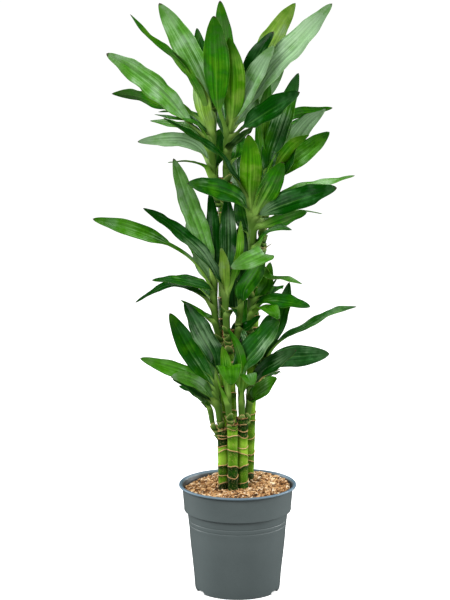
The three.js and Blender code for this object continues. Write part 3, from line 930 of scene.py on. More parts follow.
@dataclass
class Stem:
    """The axis of a shoot, which is thickest at its foot."""

    line: Array  # its points from the foot up
    wide: float  # its radius at the foot
    slim: float  # its radius at the head

    @property
    def foot(self) -> float:
        """The height where the stem starts."""
        return float(self.line[0, 2])

    @property
    def head(self) -> float:
        """The height where the stem ends."""
        return float(self.line[-1, 2])

    def axis(self, heights: Array) -> Array:
        """The places of the axis at the given heights."""
        return along(self.line, np.asarray(heights, float))

    def radius(self, heights: Array) -> Array:
        """The stem's radius at the given heights."""
        share = np.clip((np.asarray(heights, float) - self.foot) / (self.head - self.foot), 0.0, 1.0)
        return self.wide + (self.slim - self.wide) * share

    def draw(self, draft: Draft, seed: float, leafy: Sequence[float]) -> None:
        """Adds the stem, clasped by the feet of old leaves wherever no leaf's own sheath covers it.

        Args:
            draft: the piece that it is added to.
            seed: a number that is different for each stem.
            leafy: the heights where leaves leave the stem.
        """
        heights = np.arange(self.foot, self.head, STEM_STEP)
        rings = [ring(centre, radius, STEM_SIDES) for centre, radius in
                 zip(self.axis(heights), self.radius(heights) - 0.4)]
        top = self.axis([self.head])[0]
        for share in (0.25, 0.5, 0.7, 0.85, 0.95):  # the pointed bud at its end
            lift = np.array([0.0, 0.0, 2.0 * self.slim * share])
            rings.append(ring(top + lift, self.slim * (1.0 - share**1.6), STEM_SIDES))
        draft.sleeve(np.array(rings), STEM_TONE, STEM_SIDE)
        for number, low in enumerate(np.arange(self.foot - 2.0, self.head - 12.0, CLASP_STEP)):
            if not any(low - 2.0 < height < low + SHEATH_LENGTH for height in leafy):
                self._clasp(draft, float(low), seed + 2.4 * number)

    def _clasp(self, draft: Draft, low: float, seed: float) -> None:
        """Adds the foot of an old leaf: a cup round the stem with one raised and torn lip.

        Args:
            draft: the piece that it is added to.
            low: the height where it starts.
            seed: the direction of its lip, in radians.
        """
        turn = turns(CLASP_SIDES)
        point = np.cos((turn - seed) / 2) ** 8
        torn = 0.5 * np.sin(9 * turn + seed) + 0.4 * np.sin(17 * turn - 2 * seed)
        rise = CLASP_HEIGHT + CLASP_POINT * point + torn
        rings = []
        for share, proud, _ in CLASP_LIPS:
            heights = np.clip(low + rise * share, self.foot, self.head)
            size = self.radius(heights) + proud + CLASP_FLARE * point * max(share - 0.4, 0.0)
            line = self.axis(heights)
            line[:, 0] += size * np.cos(turn)
            line[:, 1] += size * np.sin(turn)
            line[:, 2] = low + rise * share
            rings.append(line)
        shade = 0.07 * math.sin(3 * seed)
        draft.sleeve(np.array(rings), np.array([tone + shade for *_, tone in CLASP_LIPS]), STEM_SIDE)


@dataclass
class Leaf:
    """A leaf, by the places along its midrib and how it lies.

    At turn 0 the upper face looks up and towards the stem; a turn in degrees rolls it towards
    the front, and a negative one shows the underside there.
    """

    height: float  # where it leaves the stem
    places: tuple[Point, ...]  # from there to its tip, as spot reads them
    width: float
    turn: float
    tone: Tone = Tone.MID
    neck: float = 0.12  # the narrow share of its length

    def outline(self, share: Array) -> tuple[Array, Array, Array]:
        """The outline of the blade and its neck.

        Args:
            share: places along the leaf, as shares of its length.

        Returns:
            At each place the half width, the angle of the channel and the fullness of the blade.
        """
        q = np.clip((share - self.neck) / (1.0 - self.neck), 0.0, 1.0)
        blade = np.clip(np.sin(math.pi * q**1.05), 0.0, 1.0) ** 0.62
        half = NECK_WIDTH / 2 * (1.0 - q) + (self.width / 2 - NECK_WIDTH / 4) * blade
        return half, 0.16 + 0.75 * (1.0 - q) ** 5, blade

    def draw(self, draft: Draft, stem: Stem, seed: float) -> None:
        """Adds the leaf with its sheath.

        Args:
            draft: the piece that it is added to.
            stem: the stem that it grows from.
            seed: a number that is different for each leaf.
        """
        top = min(self.height, stem.head)
        root = stem.axis([top])[0]
        points = np.vstack([root, *[spot(place) for place in self.places]])
        rough_length = float(np.linalg.norm(np.diff(points, axis=0), axis=1).sum())
        steps = max(20, round(rough_length / ROW_STEP))
        line = rib_line(points, steps)
        length = float(np.linalg.norm(np.diff(line, axis=0), axis=1).sum())
        heading = unit((points[-1] - root) * (1.0, 1.0, 0.0))
        share = np.linspace(0.0, 1.0, steps + 1)
        held = 1.0 - smooth(share * length, 0.0, SHEATH_RELEASE)
        middle, hug, reach = self._midrib(stem, line, heading, held)

        join = len(hug)
        half, fold, blade = (np.concatenate([np.repeat(row[:1], join), row])
                             for row in self.outline(share))
        held = np.concatenate([np.ones(join), held])
        share = np.concatenate([np.zeros(join), share])
        run = share * length
        grip = np.concatenate([hug, np.repeat(reach, steps + 1)]) * SHEATH_TURN
        half = half * (1.0 + 0.035 * blade * rippled(run / 26.0, seed))
        half = half + (grip - half) * held**1.5

        across, face = self._frame(middle, heading, share)
        u = np.linspace(-1.0, 1.0, 2 * HALF_COLUMNS + 1)[None, :]
        share, held, half, fold, blade = (row[:, None] for row in (share, held, half, fold, blade))
        flat = smooth(share, self.neck, self.neck + 0.3)
        x, y = self._section(u, half, fold, held, flat, blade)
        count = max(3, round(length / SEGMENT))
        wave = WAVE * self.width * np.cos(math.pi * count * share) * np.sign(u) * np.abs(u) ** 1.8
        left, right = (rippled(run / 17.0, seed + side)[:, None] for side in (11.0, 23.0))
        curl = CURL * self.width * np.where(u < 0, left, right) * np.abs(u) ** 3
        pleat = PLEAT * np.cos(5.0 * math.pi * np.abs(u) + seed) * (1.0 - np.abs(u))
        y = y + (wave + curl + pleat) * blade

        skin = middle[:, None] + across[:, None] * x[..., None] + face[:, None] * y[..., None]
        normal = unit(np.cross(np.gradient(skin, axis=1), np.gradient(skin, axis=0)))
        body = MARGIN_THICK + MID_THICK * (1.0 - u**2)
        channel = 0.3 * np.exp(-((x / 1.1) ** 2)) * (1.0 - share) * flat
        ridge = 1.5 * np.exp(-((x / 1.7) ** 2)) * (1.0 - share) ** 0.8 * (1.0 - held)
        upper = (skin + normal * (body - channel)[..., None])[:-1]
        under = (skin - normal * (body + ridge)[..., None])[:-1]
        self._close(draft, upper, under, middle[-1], u, run / length, join)

    def _midrib(self, stem: Stem, line: Array, heading: Array,
                held: Array) -> tuple[Array, Array, float]:
        """The midrib with its sheath: it hugs the stem, and eases from its face to the leaf's line.

        Args:
            stem: the stem that the leaf grows from.
            line: the leaf's line, from the stem's axis to the tip.
            heading: the level direction that the leaf grows in.
            held: how firmly the stem holds each place of the line, from 1 to 0.

        Returns:
            The midrib's places, how far the sheath's lie off the stem's axis, and how far its top
            does.
        """
        top = float(line[0, 2])
        low = max(top - SHEATH_LENGTH, stem.foot + 1.0)
        heights = np.linspace(low, top, max(2, round((top - low) / ROW_STEP)), endpoint=False)
        up = 1.0 - (top - heights) / (top - low)
        hug = stem.radius(heights) - SHEATH_SUNK + (SHEATH_PROUD + 0.9) * up**0.7
        reach = float(stem.radius(top)) + 0.3 + SHEATH_PROUD
        middle = np.vstack([stem.axis(heights) + heading * hug[:, None],
                            line + heading * (reach * held)[:, None]])
        join = len(heights)
        for _ in range(4):  # rounds off the bend where the two meet
            near = slice(max(1, join - 5), join + 8)
            ease = (middle[:-2] + 2 * middle[1:-1] + middle[2:]) / 4
            middle[near] = ease[near.start - 1:near.stop - 1]
        return middle, hug, reach

    def _frame(self, middle: Array, heading: Array, share: Array) -> tuple[Array, Array]:
        """The directions across the blade and out of its upper face, along the midrib.

        Args:
            middle: the midrib's places.
            heading: the level direction that the leaf grows in.
            share: the share of the length at each place.

        Returns:
            Two arrays, one row for each place.
        """
        ahead = unit(np.gradient(middle, axis=0))
        face = UP * (ahead @ heading)[:, None] - heading * ahead[:, 2:]
        face = unit(face - ahead * (ahead * face).sum(axis=1, keepdims=True))
        roll = math.radians(self.turn) * (-1.0 if heading[0] < 0 else 1.0)
        roll = (roll * smooth(share, 0.0, self.neck + 0.15))[:, None]
        face = face * np.cos(roll) + np.cross(ahead, face) * np.sin(roll)
        return np.cross(ahead, face), face

    @staticmethod
    def _section(u: Array, half: Array, fold: Array, held: Array, flat: Array,
                 blade: Array) -> tuple[Array, Array]:
        """The blade's section: round the stem at the sheath, and a soft V further out.

        Args:
            u: places from the left margin, -1, to the right one, 1.
            half: the half width along the leaf.
            fold: the angle of the V.
            held: how firmly the stem holds the leaf.
            flat: how much of the V's section there is.
            blade: how full the blade is.

        Returns:
            How far each point lies across, and how far above the midrib.
        """
        arc = 1.75 * fold + (SHEATH_TURN - 1.75 * fold) * held
        crease = (np.sqrt(u**2 + 0.01) - 0.1) / (math.sqrt(1.01) - 0.1)
        belly = 0.05 * half * np.sin(math.pi * np.abs(u)) * blade
        flat_x, flat_y = u * half * np.cos(fold), crease * half * np.sin(fold) + belly
        x = (half / arc * np.sin(arc * u)) * (1.0 - flat) + flat_x * flat
        y = (half / arc * (1.0 - np.cos(arc * u))) * (1.0 - flat) + flat_y * flat
        return x, y

    def _close(self, draft: Draft, upper: Array, under: Array, tip: Array, u: Array, up: Array,
               join: int) -> None:
        """Joins the two faces of the blade along its margins, at its foot and at its tip.

        Args:
            draft: the piece that the leaf is added to.
            upper: the points of the upper face, rows by columns by 3.
            under: those of the under face.
            tip: the place of the tip.
            u: the columns' places from margin to margin, from -1 to 1.
            up: the share of the length at each row and at the tip.
            join: how many rows the sheath has.
        """
        rows, columns = upper.shape[:2]
        last, edge = rows - 1, columns - 1
        top = np.arange(rows * columns).reshape(rows, columns)
        low = top + rows * columns
        point = 2 * rows * columns
        faces: list[tuple[int, ...]] = []
        for i in range(last):
            for j in range(edge):
                faces.append((top[i, j], top[i, j + 1], top[i + 1, j + 1], top[i + 1, j]))
        faces += [(top[last, j], top[last, j + 1], point) for j in range(edge)]
        shown = len(faces)
        for i in range(last):
            for j in range(edge):
                faces.append((low[i, j], low[i + 1, j], low[i + 1, j + 1], low[i, j + 1]))
            faces.append((top[i, 0], top[i + 1, 0], low[i + 1, 0], low[i, 0]))
            faces.append((top[i, edge], low[i, edge], low[i + 1, edge], top[i + 1, edge]))
        for j in range(edge):
            faces.append((low[last, j + 1], low[last, j], point))
            faces.append((top[0, j], low[0, j], low[0, j + 1], top[0, j + 1]))
        faces.append((top[last, 0], point, low[last, 0]))
        faces.append((top[last, edge], low[last, edge], point))
        finish = [UPPER_SIDE] * shown + [UNDER_SIDE] * (len(faces) - shown)
        height = np.concatenate([np.linspace(-0.12, -0.01, join, endpoint=False), up[join:-1]])
        uv = np.stack(np.broadcast_arrays((u + 1.0) / 2, height[:, None]), axis=2).reshape(-1, 2)
        points = np.vstack([upper.reshape(-1, 3), under.reshape(-1, 3), tip])
        draft.put(points, np.vstack([uv, uv, (0.5, 1.0)]), self.tone.value, faces, finish)


@dataclass
class Shoot:
    """A leafy shoot that grows from the side of a cane near its top."""

    name: str
    radii: Pair  # at the stem's foot and at its head
    stem: tuple[Point, ...]  # its places from the foot up, as spot reads them
    leaves: tuple[Leaf, ...]

    def build(self, materials: Sequence[Material]) -> None:
        """Makes the shoot's stem and leaves as one piece and hands it over.

        Args:
            materials: the finishes of the upper side, the underside and the stem.
        """
        stem = Stem(np.array([spot(place) for place in self.stem]), *self.radii)
        seed = float(sum(map(ord, self.name)) % 97)
        draft = Draft()
        stem.draw(draft, seed, [each.height for each in self.leaves])
        for number, each in enumerate(self.leaves):
            each.draw(draft, stem, seed + 3.7 * number)
        hand_over(draft.build(self.name.replace("shoot", "leafy_shoot"), materials), "leaf", self.name)


# ------------------------ canes

CANE_FOOT = 70.0  # the canes reach down to this height in the soil
CANE_SIDES = 40
SCAR_STEP = 0.8  # how far a cane swells out under each scar
SCAR_SIDES, SCAR_THICK = 56, 1.0  # points round a scar's ring, and the radius of its raised edge
TOP_SWELL = 1.1  # how much wider a cane's cut top is
CHANCE_TONES = (0.3, 0.5, 0.65, 0.8)  # for the canes that give no tones of their own
INTERNODE = (0.01, 0.06, 0.2, 0.4, 0.6, 0.8, 0.93, 0.99)  # rings from one scar to the next
REACH_UNIT = 50.0  # the height that takes up one unit of the UV map
CUT_RINGS = ((0.97, 0.9), (0.86, 0.6), (0.7, -0.8), (0.45, -1.4), (0.2, -1.0))  # share of radius, rise
TOP_FLAKES = 22  # round the cut top
HUSK_FLAKES = 2  # to each millimetre of husk


def scar_tree() -> Tree:
    """Leaf scars: a thin, slanting and wavy ring round a cane at each point.

    Each point carries its ring's radius, tilt, turn and wave as attributes.

    Returns:
        A Geometry Nodes tree with the inputs Thickness, Sides and Finish.
    """
    graph, given, out = group_tree(
        "leaf_scars", "GeometryNodeTree",
        {"Geometry": ("NodeSocketGeometry", None), "Thickness": ("NodeSocketFloat", SCAR_THICK * MM),
         "Sides": ("NodeSocketInt", SCAR_SIDES), "Finish": ("NodeSocketMaterial", None)},
        {"Geometry": "NodeSocketGeometry"})

    def read(name: str) -> Socket:
        """A named number of the geometry."""
        return graph.add("GeometryNodeInputNamedAttribute", {"Name": name}, data_type="FLOAT").outputs[0]

    def circle(sides: object, radius: object) -> Node:
        """A level ring."""
        return graph.add("GeometryNodeCurvePrimitiveCircle", {"Resolution": sides, "Radius": radius})

    index = graph.add("GeometryNodeInputIndex").outputs[0]
    angle = graph.math("DIVIDE", index, given.outputs["Sides"])
    angle = graph.math("MULTIPLY", angle, 2 * math.pi)
    marked = graph.add("GeometryNodeStoreNamedAttribute",
                       {"Geometry": circle(given.outputs["Sides"], 1.0).outputs[0], "Name": "angle",
                        "Value": angle},
                       data_type="FLOAT", domain="POINT")
    size = graph.add("ShaderNodeCombineXYZ", {0: read("ring_radius"), 1: read("ring_radius"), 2: 1.0})
    copies = graph.add("GeometryNodeInstanceOnPoints",
                       {"Points": given.outputs["Geometry"], "Instance": marked.outputs[0],
                        "Scale": size.outputs[0]})
    rings = graph.add("GeometryNodeRealizeInstances", {0: copies.outputs[0]})
    off = graph.math("SUBTRACT", read("angle"), read("turn"))
    lift = graph.math("MULTIPLY", read("tilt"), graph.math("COSINE", off))
    ripple = graph.math("SINE", graph.math("MULTIPLY_ADD", read("angle"), 3.0, read("turn")))
    lift = graph.math("ADD", lift, graph.math("MULTIPLY", read("wave"), ripple))
    offset = graph.add("ShaderNodeCombineXYZ", {2: lift})
    moved = graph.add("GeometryNodeSetPosition",
                      {"Geometry": rings.outputs[0], "Offset": offset.outputs[0]})
    tube = graph.add("GeometryNodeCurveToMesh",
                     {"Curve": moved.outputs[0],
                      "Profile Curve": circle(7, given.outputs["Thickness"]).outputs[0]})
    soft = graph.add("GeometryNodeSetShadeSmooth", {0: worn(graph, tube, 330.0, 2.0, 1.1 * MM)})
    whole = graph.add("GeometryNodeRealizeInstances", {0: soft.outputs[0]})
    return dressed(graph, out, whole.outputs[0], given.outputs["Finish"])


@dataclass
class Cane:
    """A ringed cane: its foot and its head as (x, y), its top, its radius and its scars' heights."""

    name: str
    foot: Pair
    head: Pair
    top: float
    radius: float
    scars: tuple[float, ...]
    tones: tuple[float, ...] = ()  # from its foot up, one between each two scars; by chance if none
    husk: float = 0.0  # how much of its top is dry, rough husk
    tilts: list[Point] = field(default_factory=list)  # tilt, turn and wave of each scar

    def __post_init__(self) -> None:
        """Draws how each scar slants: its tilt and wave in millimetres and its turn in radians."""
        draw = random.Random(self.name)
        for height in self.scars:
            crowded = 0.45 if self.top - height < 28.0 else 1.0
            tilt = draw.uniform(2.8, 6.0) * crowded
            self.tilts.append((tilt, draw.uniform(0.0, 2 * math.pi), draw.uniform(0.4, 1.1)))

    def axis(self, height: float) -> Array:
        """The place of the cane's axis.

        Args:
            height: the height of that place.

        Returns:
            Its three coordinates.
        """
        share = (height - CANE_FOOT) / (self.top - CANE_FOOT)
        start, end = np.array(self.foot), np.array(self.head)
        return np.array([*(start + (end - start) * share), height])

    def lift(self, number: int, turn: Array) -> Array:
        """How far a scar, by its number, stands above its mean height at each angle."""
        tilt, facing, wave = self.tilts[number]
        return tilt * np.cos(turn - facing) + wave * np.sin(3 * turn + facing)

    def build(self, materials: Sequence[Material], scar: Material, tree: Tree) -> None:
        """Makes the cane, its scars and the frayed edge of its cut top, and hands them over.

        Args:
            materials: the finishes of the green cane and of dry husk.
            scar: the finish of the scars.
            tree: the tree that makes the scars' rings.
        """
        draw = random.Random(self.name + "tones")
        draft = Draft()
        rings, tones, reach = self._rings(draw)
        husky = [z * REACH_UNIT > self.top - self.husk for z in reach]
        dry = husky.index(True) if any(husky) else len(rings)
        for start, end, finish in ((0, dry + 1, 0), (dry, len(rings), 1)):
            if end - start > 1:
                draft.sleeve(np.array(rings[start:end]), np.array(tones[start:end]), finish,
                             ends=False, reach=np.array(reach[start:end]))
        self._cut(draft, draw, rings[0], rings[-1])
        self._fray(draft, draw)
        piece = draft.build(self.name.replace("cane", "ringed_cane"), materials, smooth_up_to=70.0)
        hand_over(piece, "cane", self.name)
        self._scars(scar, tree)

    def _rings(self, draw: random.Random) -> tuple[list[Array], list[float], list[float]]:
        """The cane's surface from its foot to its top; each stretch swells and darkens upwards.

        Args:
            draw: the source of chance.

        Returns:
            The rings of points, the tone of each, and the height of each on the UV map.
        """
        turn = turns(CANE_SIDES)
        level = np.zeros(CANE_SIDES)
        bounds = [(CANE_FOOT, level)]
        bounds += [(z, self.lift(number, turn)) for number, z in enumerate(self.scars)]
        bounds.append((self.top, level))
        rings, tones, reach = [], [], []
        for number, ((low, low_lift), (high, high_lift)) in enumerate(zip(bounds, bounds[1:])):
            near_top = float(smooth(high, self.top - 60.0, self.top - 10.0))
            tone = draw.choice(CHANCE_TONES) * (1.0 - 0.65 * near_top)
            if self.tones:
                tone = self.tones[number]
            for share in INTERNODE:
                z = low + (high - low) * share
                swell = TOP_SWELL * float(smooth(z, self.top - 34.0, self.top))
                size = self.radius + SCAR_STEP * share**2.5 + swell
                wobble = 0.25 * np.sin(2 * turn + z / 37.0) + 0.12 * np.sin(5 * turn - z / 13.0)
                line = ring(self.axis(z), size + wobble, CANE_SIDES)
                line[:, 2] += low_lift + (high_lift - low_lift) * share
                rings.append(line)
                shade = 0.1 * math.sin(math.pi * share) - 0.24 * float(smooth(share, 0.45, 1.0))
                tones.append(tone + shade)
                reach.append(z / REACH_UNIT)
        return rings, tones, reach

    def _cut(self, draft: Draft, draw: random.Random, first: Array, last: Array) -> None:
        """Closes both ends: a flat foot in the soil, and a dry cut top.

        Args:
            draft: the piece that they are added to.
            draw: the source of chance.
            first: the lowest ring.
            last: the highest one.
        """
        flat = np.zeros((CANE_SIDES + 1, 2))
        pairs = [(k, (k + 1) % CANE_SIDES) for k in range(CANE_SIDES)]
        foot, head = self.axis(CANE_FOOT), self.axis(self.top)
        draft.put(np.vstack([first, foot]), flat, 0.2, [(b, a, CANE_SIDES) for a, b in pairs], 1)
        rings = [last]
        for share, lift in CUT_RINGS:
            line = head + (last - head) * share
            line[:, 2] = self.top + lift
            line[:, 2] += [draw.uniform(-0.5, 0.5) for _ in line]
            rings.append(line)
        draft.sleeve(np.array(rings), 0.35, 1, ends=False)
        draft.put(np.vstack([rings[-1], head]), flat, 0.3, [(a, b, CANE_SIDES) for a, b in pairs], 1)

    def _fray(self, draft: Draft, draw: random.Random) -> None:
        """Adds loose flakes of bark round the cut top and over the husk.

        Args:
            draft: the piece that they are added to.
            draw: the source of chance.
        """
        heights = [self.top] * TOP_FLAKES
        heights += [self.top - draw.uniform(0.0, self.husk) for _ in range(int(HUSK_FLAKES * self.husk))]
        for height in heights:
            angle = draw.uniform(0.0, 2 * math.pi)
            wide, rise = draw.uniform(1.0, 2.6), draw.uniform(2.0, 6.0)
            out, side = spokes(angle)
            base = self.axis(height - draw.uniform(0.0, 4.0)) + out * (self.radius + 0.9)
            tip = base + out * draw.uniform(0.2, 2.4) + UP * rise + side * draw.uniform(-1.5, 1.5)
            rows = [base - out * 0.8 - UP, base, (base + tip) / 2 + out * 0.5, tip]
            widths = (wide, wide, wide * 0.6, 0.15)
            flake = [[p - side * w, p + side * w, p + side * w - out * 0.5, p - side * w - out * 0.5]
                     for p, w in zip(rows, widths)]
            draft.sleeve(np.array(flake), draw.uniform(0.3, 0.95), 1)

    def _scars(self, finish: Material, tree: Tree) -> None:
        """Makes the scars' rings and hands them over.

        Args:
            finish: the scars' finish.
            tree: the tree that makes a ring at each point.
        """
        name = self.name.replace("cane", "leaf_scars")
        mesh = bpy.data.meshes.new(name)
        mesh.from_pydata([tuple(self.axis(z) * MM) for z in self.scars], [], [])
        numbers = {"ring_radius": [(self.radius + SCAR_STEP * 0.6) * MM] * len(self.scars),
                   "tilt": [tilt * MM for tilt, _, _ in self.tilts],
                   "turn": [facing for _, facing, _ in self.tilts],
                   "wave": [wave * MM for _, _, wave in self.tilts],
                   "tone": [0.35 + 0.1 * (k % 4) for k in range(len(self.scars))]}
        for label, values in numbers.items():
            mesh.attributes.new(label, "FLOAT", "POINT").data.foreach_set("value", values)
        piece = placed(name, mesh)
        run_nodes(piece, tree, {"Thickness": SCAR_THICK * MM, "Sides": SCAR_SIDES, "Finish": finish})
        hand_over(piece, "cane")


# ------------------------ soil

SOIL_TOP = 209.0
SOIL_GAP = 0.3  # between the soil and the pot's wall
SOIL_HEAP = 13.0  # the soil rises this much towards the back right
HUMPS = ((4.0, -48.0, 17.0, 5.0), (-66.0, -22.0, 12.0, -7.0))  # place, reach and rise


def soil_height(x: float, y: float) -> float:
    """The height of the soil, which has a gentle heap, two humps and small clods.

    Args:
        x: how far across the place lies.
        y: how far back it lies.

    Returns:
        The height of its top there.
    """
    heap = SOIL_HEAP * float(smooth(0.6 * x + 0.8 * y, -40.0, 90.0))
    clods = 1.6 * math.sin(x / 7 + 1.3 * math.sin(y / 11)) * math.cos(y / 8 - x / 19)
    humps = sum(rise * math.exp(-((x - at_x) ** 2 + (y - at_y) ** 2) / (2 * reach**2))
                for at_x, at_y, reach, rise in HUMPS)
    fine = 1.3 * noise.noise(Vector((x / 6.0, y / 6.0, 3.0)))
    return SOIL_TOP + heap + clods + humps + fine


def scatter_tree() -> Tree:
    """Bits scattered over a surface, each stretched, turned and given a tone by chance.

    Returns:
        A Geometry Nodes tree with the inputs Density, Smallest, Largest, Tilt, Roughness, Seed and
        Finish.
    """
    graph, given, out = group_tree(
        "scattered_bits", "GeometryNodeTree",
        {"Geometry": ("NodeSocketGeometry", None), "Density": ("NodeSocketFloat", 1.0e5),
         "Smallest": ("NodeSocketVector", (0.001, 0.001, 0.0005)),
         "Largest": ("NodeSocketVector", (0.004, 0.003, 0.001)),
         "Tilt": ("NodeSocketFloat", 0.6), "Roughness": ("NodeSocketFloat", 0.001),
         "Seed": ("NodeSocketInt", 1), "Finish": ("NodeSocketMaterial", None)},
        {"Geometry": "NodeSocketGeometry"})
    seed = given.outputs["Seed"]
    spread = graph.add("GeometryNodeDistributePointsOnFaces",
                       {"Mesh": given.outputs["Geometry"], "Density": given.outputs["Density"],
                        "Seed": seed})
    bit = graph.add("GeometryNodeMeshIcoSphere", {"Radius": 1.0, "Subdivisions": 1})
    tilt = given.outputs["Tilt"]
    back = graph.math("MULTIPLY", tilt, -1.0)
    low = graph.add("ShaderNodeCombineXYZ", {0: back, 1: back, 2: 0.0})
    high = graph.add("ShaderNodeCombineXYZ", {0: tilt, 1: tilt, 2: 2 * math.pi})
    size = graph.add("FunctionNodeRandomValue",
                     {0: given.outputs["Smallest"], 1: given.outputs["Largest"], "Seed": seed},
                     data_type="FLOAT_VECTOR")
    turn = graph.add("FunctionNodeRandomValue",
                     {0: low.outputs[0], 1: high.outputs[0], "Seed": graph.math("ADD", seed, 7.0)},
                     data_type="FLOAT_VECTOR")
    tone = graph.add("FunctionNodeRandomValue", {"Seed": graph.math("ADD", seed, 13.0)},
                     data_type="FLOAT")
    copies = graph.add("GeometryNodeInstanceOnPoints",
                       {"Points": spread.outputs[0], "Instance": bit.outputs[0],
                        "Rotation": turn.outputs[0], "Scale": size.outputs[0]})
    toned = graph.add("GeometryNodeStoreNamedAttribute",
                      {"Geometry": copies.outputs[0], "Name": "chip_tone", "Value": tone.outputs[1]},
                      data_type="FLOAT", domain="INSTANCE")
    whole = graph.add("GeometryNodeRealizeInstances", {0: toned.outputs[0]})
    mesh = worn(graph, whole, 420.0, 1.0, given.outputs["Roughness"])
    return dressed(graph, out, mesh, given.outputs["Finish"])


@dataclass
class Bits:
    """One kind of loose bits on the soil."""

    name: str
    count: int
    smallest: Point  # half sizes in millimetres
    largest: Point
    tilt: float  # how far they lean at most, in radians
    roughness: float
    seed: int


@dataclass
class SoilBed:
    """The soil that fills the pot, and the chips of bark and fibres of husk on it."""

    rim: float
    walls: Profile  # up the side
    rings: int = 26
    sides: int = 96
    level_rim: float = 10.0  # how wide the level edge along the pot's wall is
    bits: tuple[Bits, ...] = (
        Bits("bark_chips", 4600, (1.0, 0.7, 0.4), (4.6, 2.8, 1.6), 0.8, 2.0, 4),
        Bits("coarse_bark", 700, (2.6, 1.8, 0.8), (9.5, 4.8, 3.0), 0.7, 3.4, 9),
        Bits("husk_fibres", 420, (3.0, 0.22, 0.22), (8.0, 0.4, 0.4), 0.35, 1.4, 17),
    )

    def surface(self, rim: float, lift: float) -> Array:
        """The soil's top, or a surface a little over it.

        Args:
            rim: the radius of its edge.
            lift: how far over the soil it lies.

        Returns:
            Rings of points, from the rim to the middle.
        """
        rows = []
        for share in np.linspace(1.0, 0.02, self.rings):
            line = ring(np.zeros(3), rim * share, self.sides)
            inside = float(smooth(self.rim - rim * share, 0.0, self.level_rim))
            line[:, 2] = [SOIL_TOP + (soil_height(x, y) - SOIL_TOP) * inside + lift for x, y, _ in line]
            rows.append(line)
        return np.array(rows)

    def build(self, loam: Material, bark: Material, tree: Tree) -> None:
        """Makes the soil and the loose bits on it, and hands them over.

        Args:
            loam: the soil's finish.
            bark: the bits' finish.
            tree: the tree that scatters them.
        """
        draft = Draft()
        side = np.array([ring(np.array([0.0, 0.0, z]), r, self.sides) for r, z in self.walls])
        rings = np.concatenate([side, self.surface(self.rim, 0.0)])
        draft.sleeve(rings, 0.5, 0)
        hand_over(draft.build("soil_bed", [loam]), "soil", "soil")
        for each in self.bits:
            self._scatter(each, bark, tree)

    def _scatter(self, kind: Bits, bark: Material, tree: Tree) -> None:
        """Scatters one kind of loose bits over the soil and hands them over.

        Args:
            kind: the kind of bits.
            bark: their finish.
            tree: the tree that scatters them.
        """
        reach = self.rim - kind.largest[0] * 0.8
        rows = self.surface(reach, kind.largest[2] * 0.35)
        draft = Draft()
        draft.sleeve(rows, 0.5, 0, ends=False)
        piece = draft.build(kind.name, [])
        area = math.pi * (reach * MM) ** 2
        run_nodes(piece, tree, {
            "Density": kind.count / area, "Smallest": [v * MM for v in kind.smallest],
            "Largest": [v * MM for v in kind.largest], "Tilt": kind.tilt,
            "Roughness": kind.roughness * MM, "Seed": kind.seed, "Finish": bark})
        hand_over(piece, "soil")


# ------------------------ pot

def bend(centre: Pair, radius: float, start: float, end: float, steps: int) -> Profile:
    """A round corner of a profile.

    Args:
        centre: the (radius, height) that it is rounded about.
        radius: how far its points lie from there.
        start: the angle of its first point in degrees.
        end: the angle of its last one.
        steps: how many steps it is cut into.

    Returns:
        Its points.
    """
    angles = np.radians(np.linspace(start, end, steps + 1))
    return [(centre[0] + radius * math.cos(t), centre[1] + radius * math.sin(t)) for t in angles]


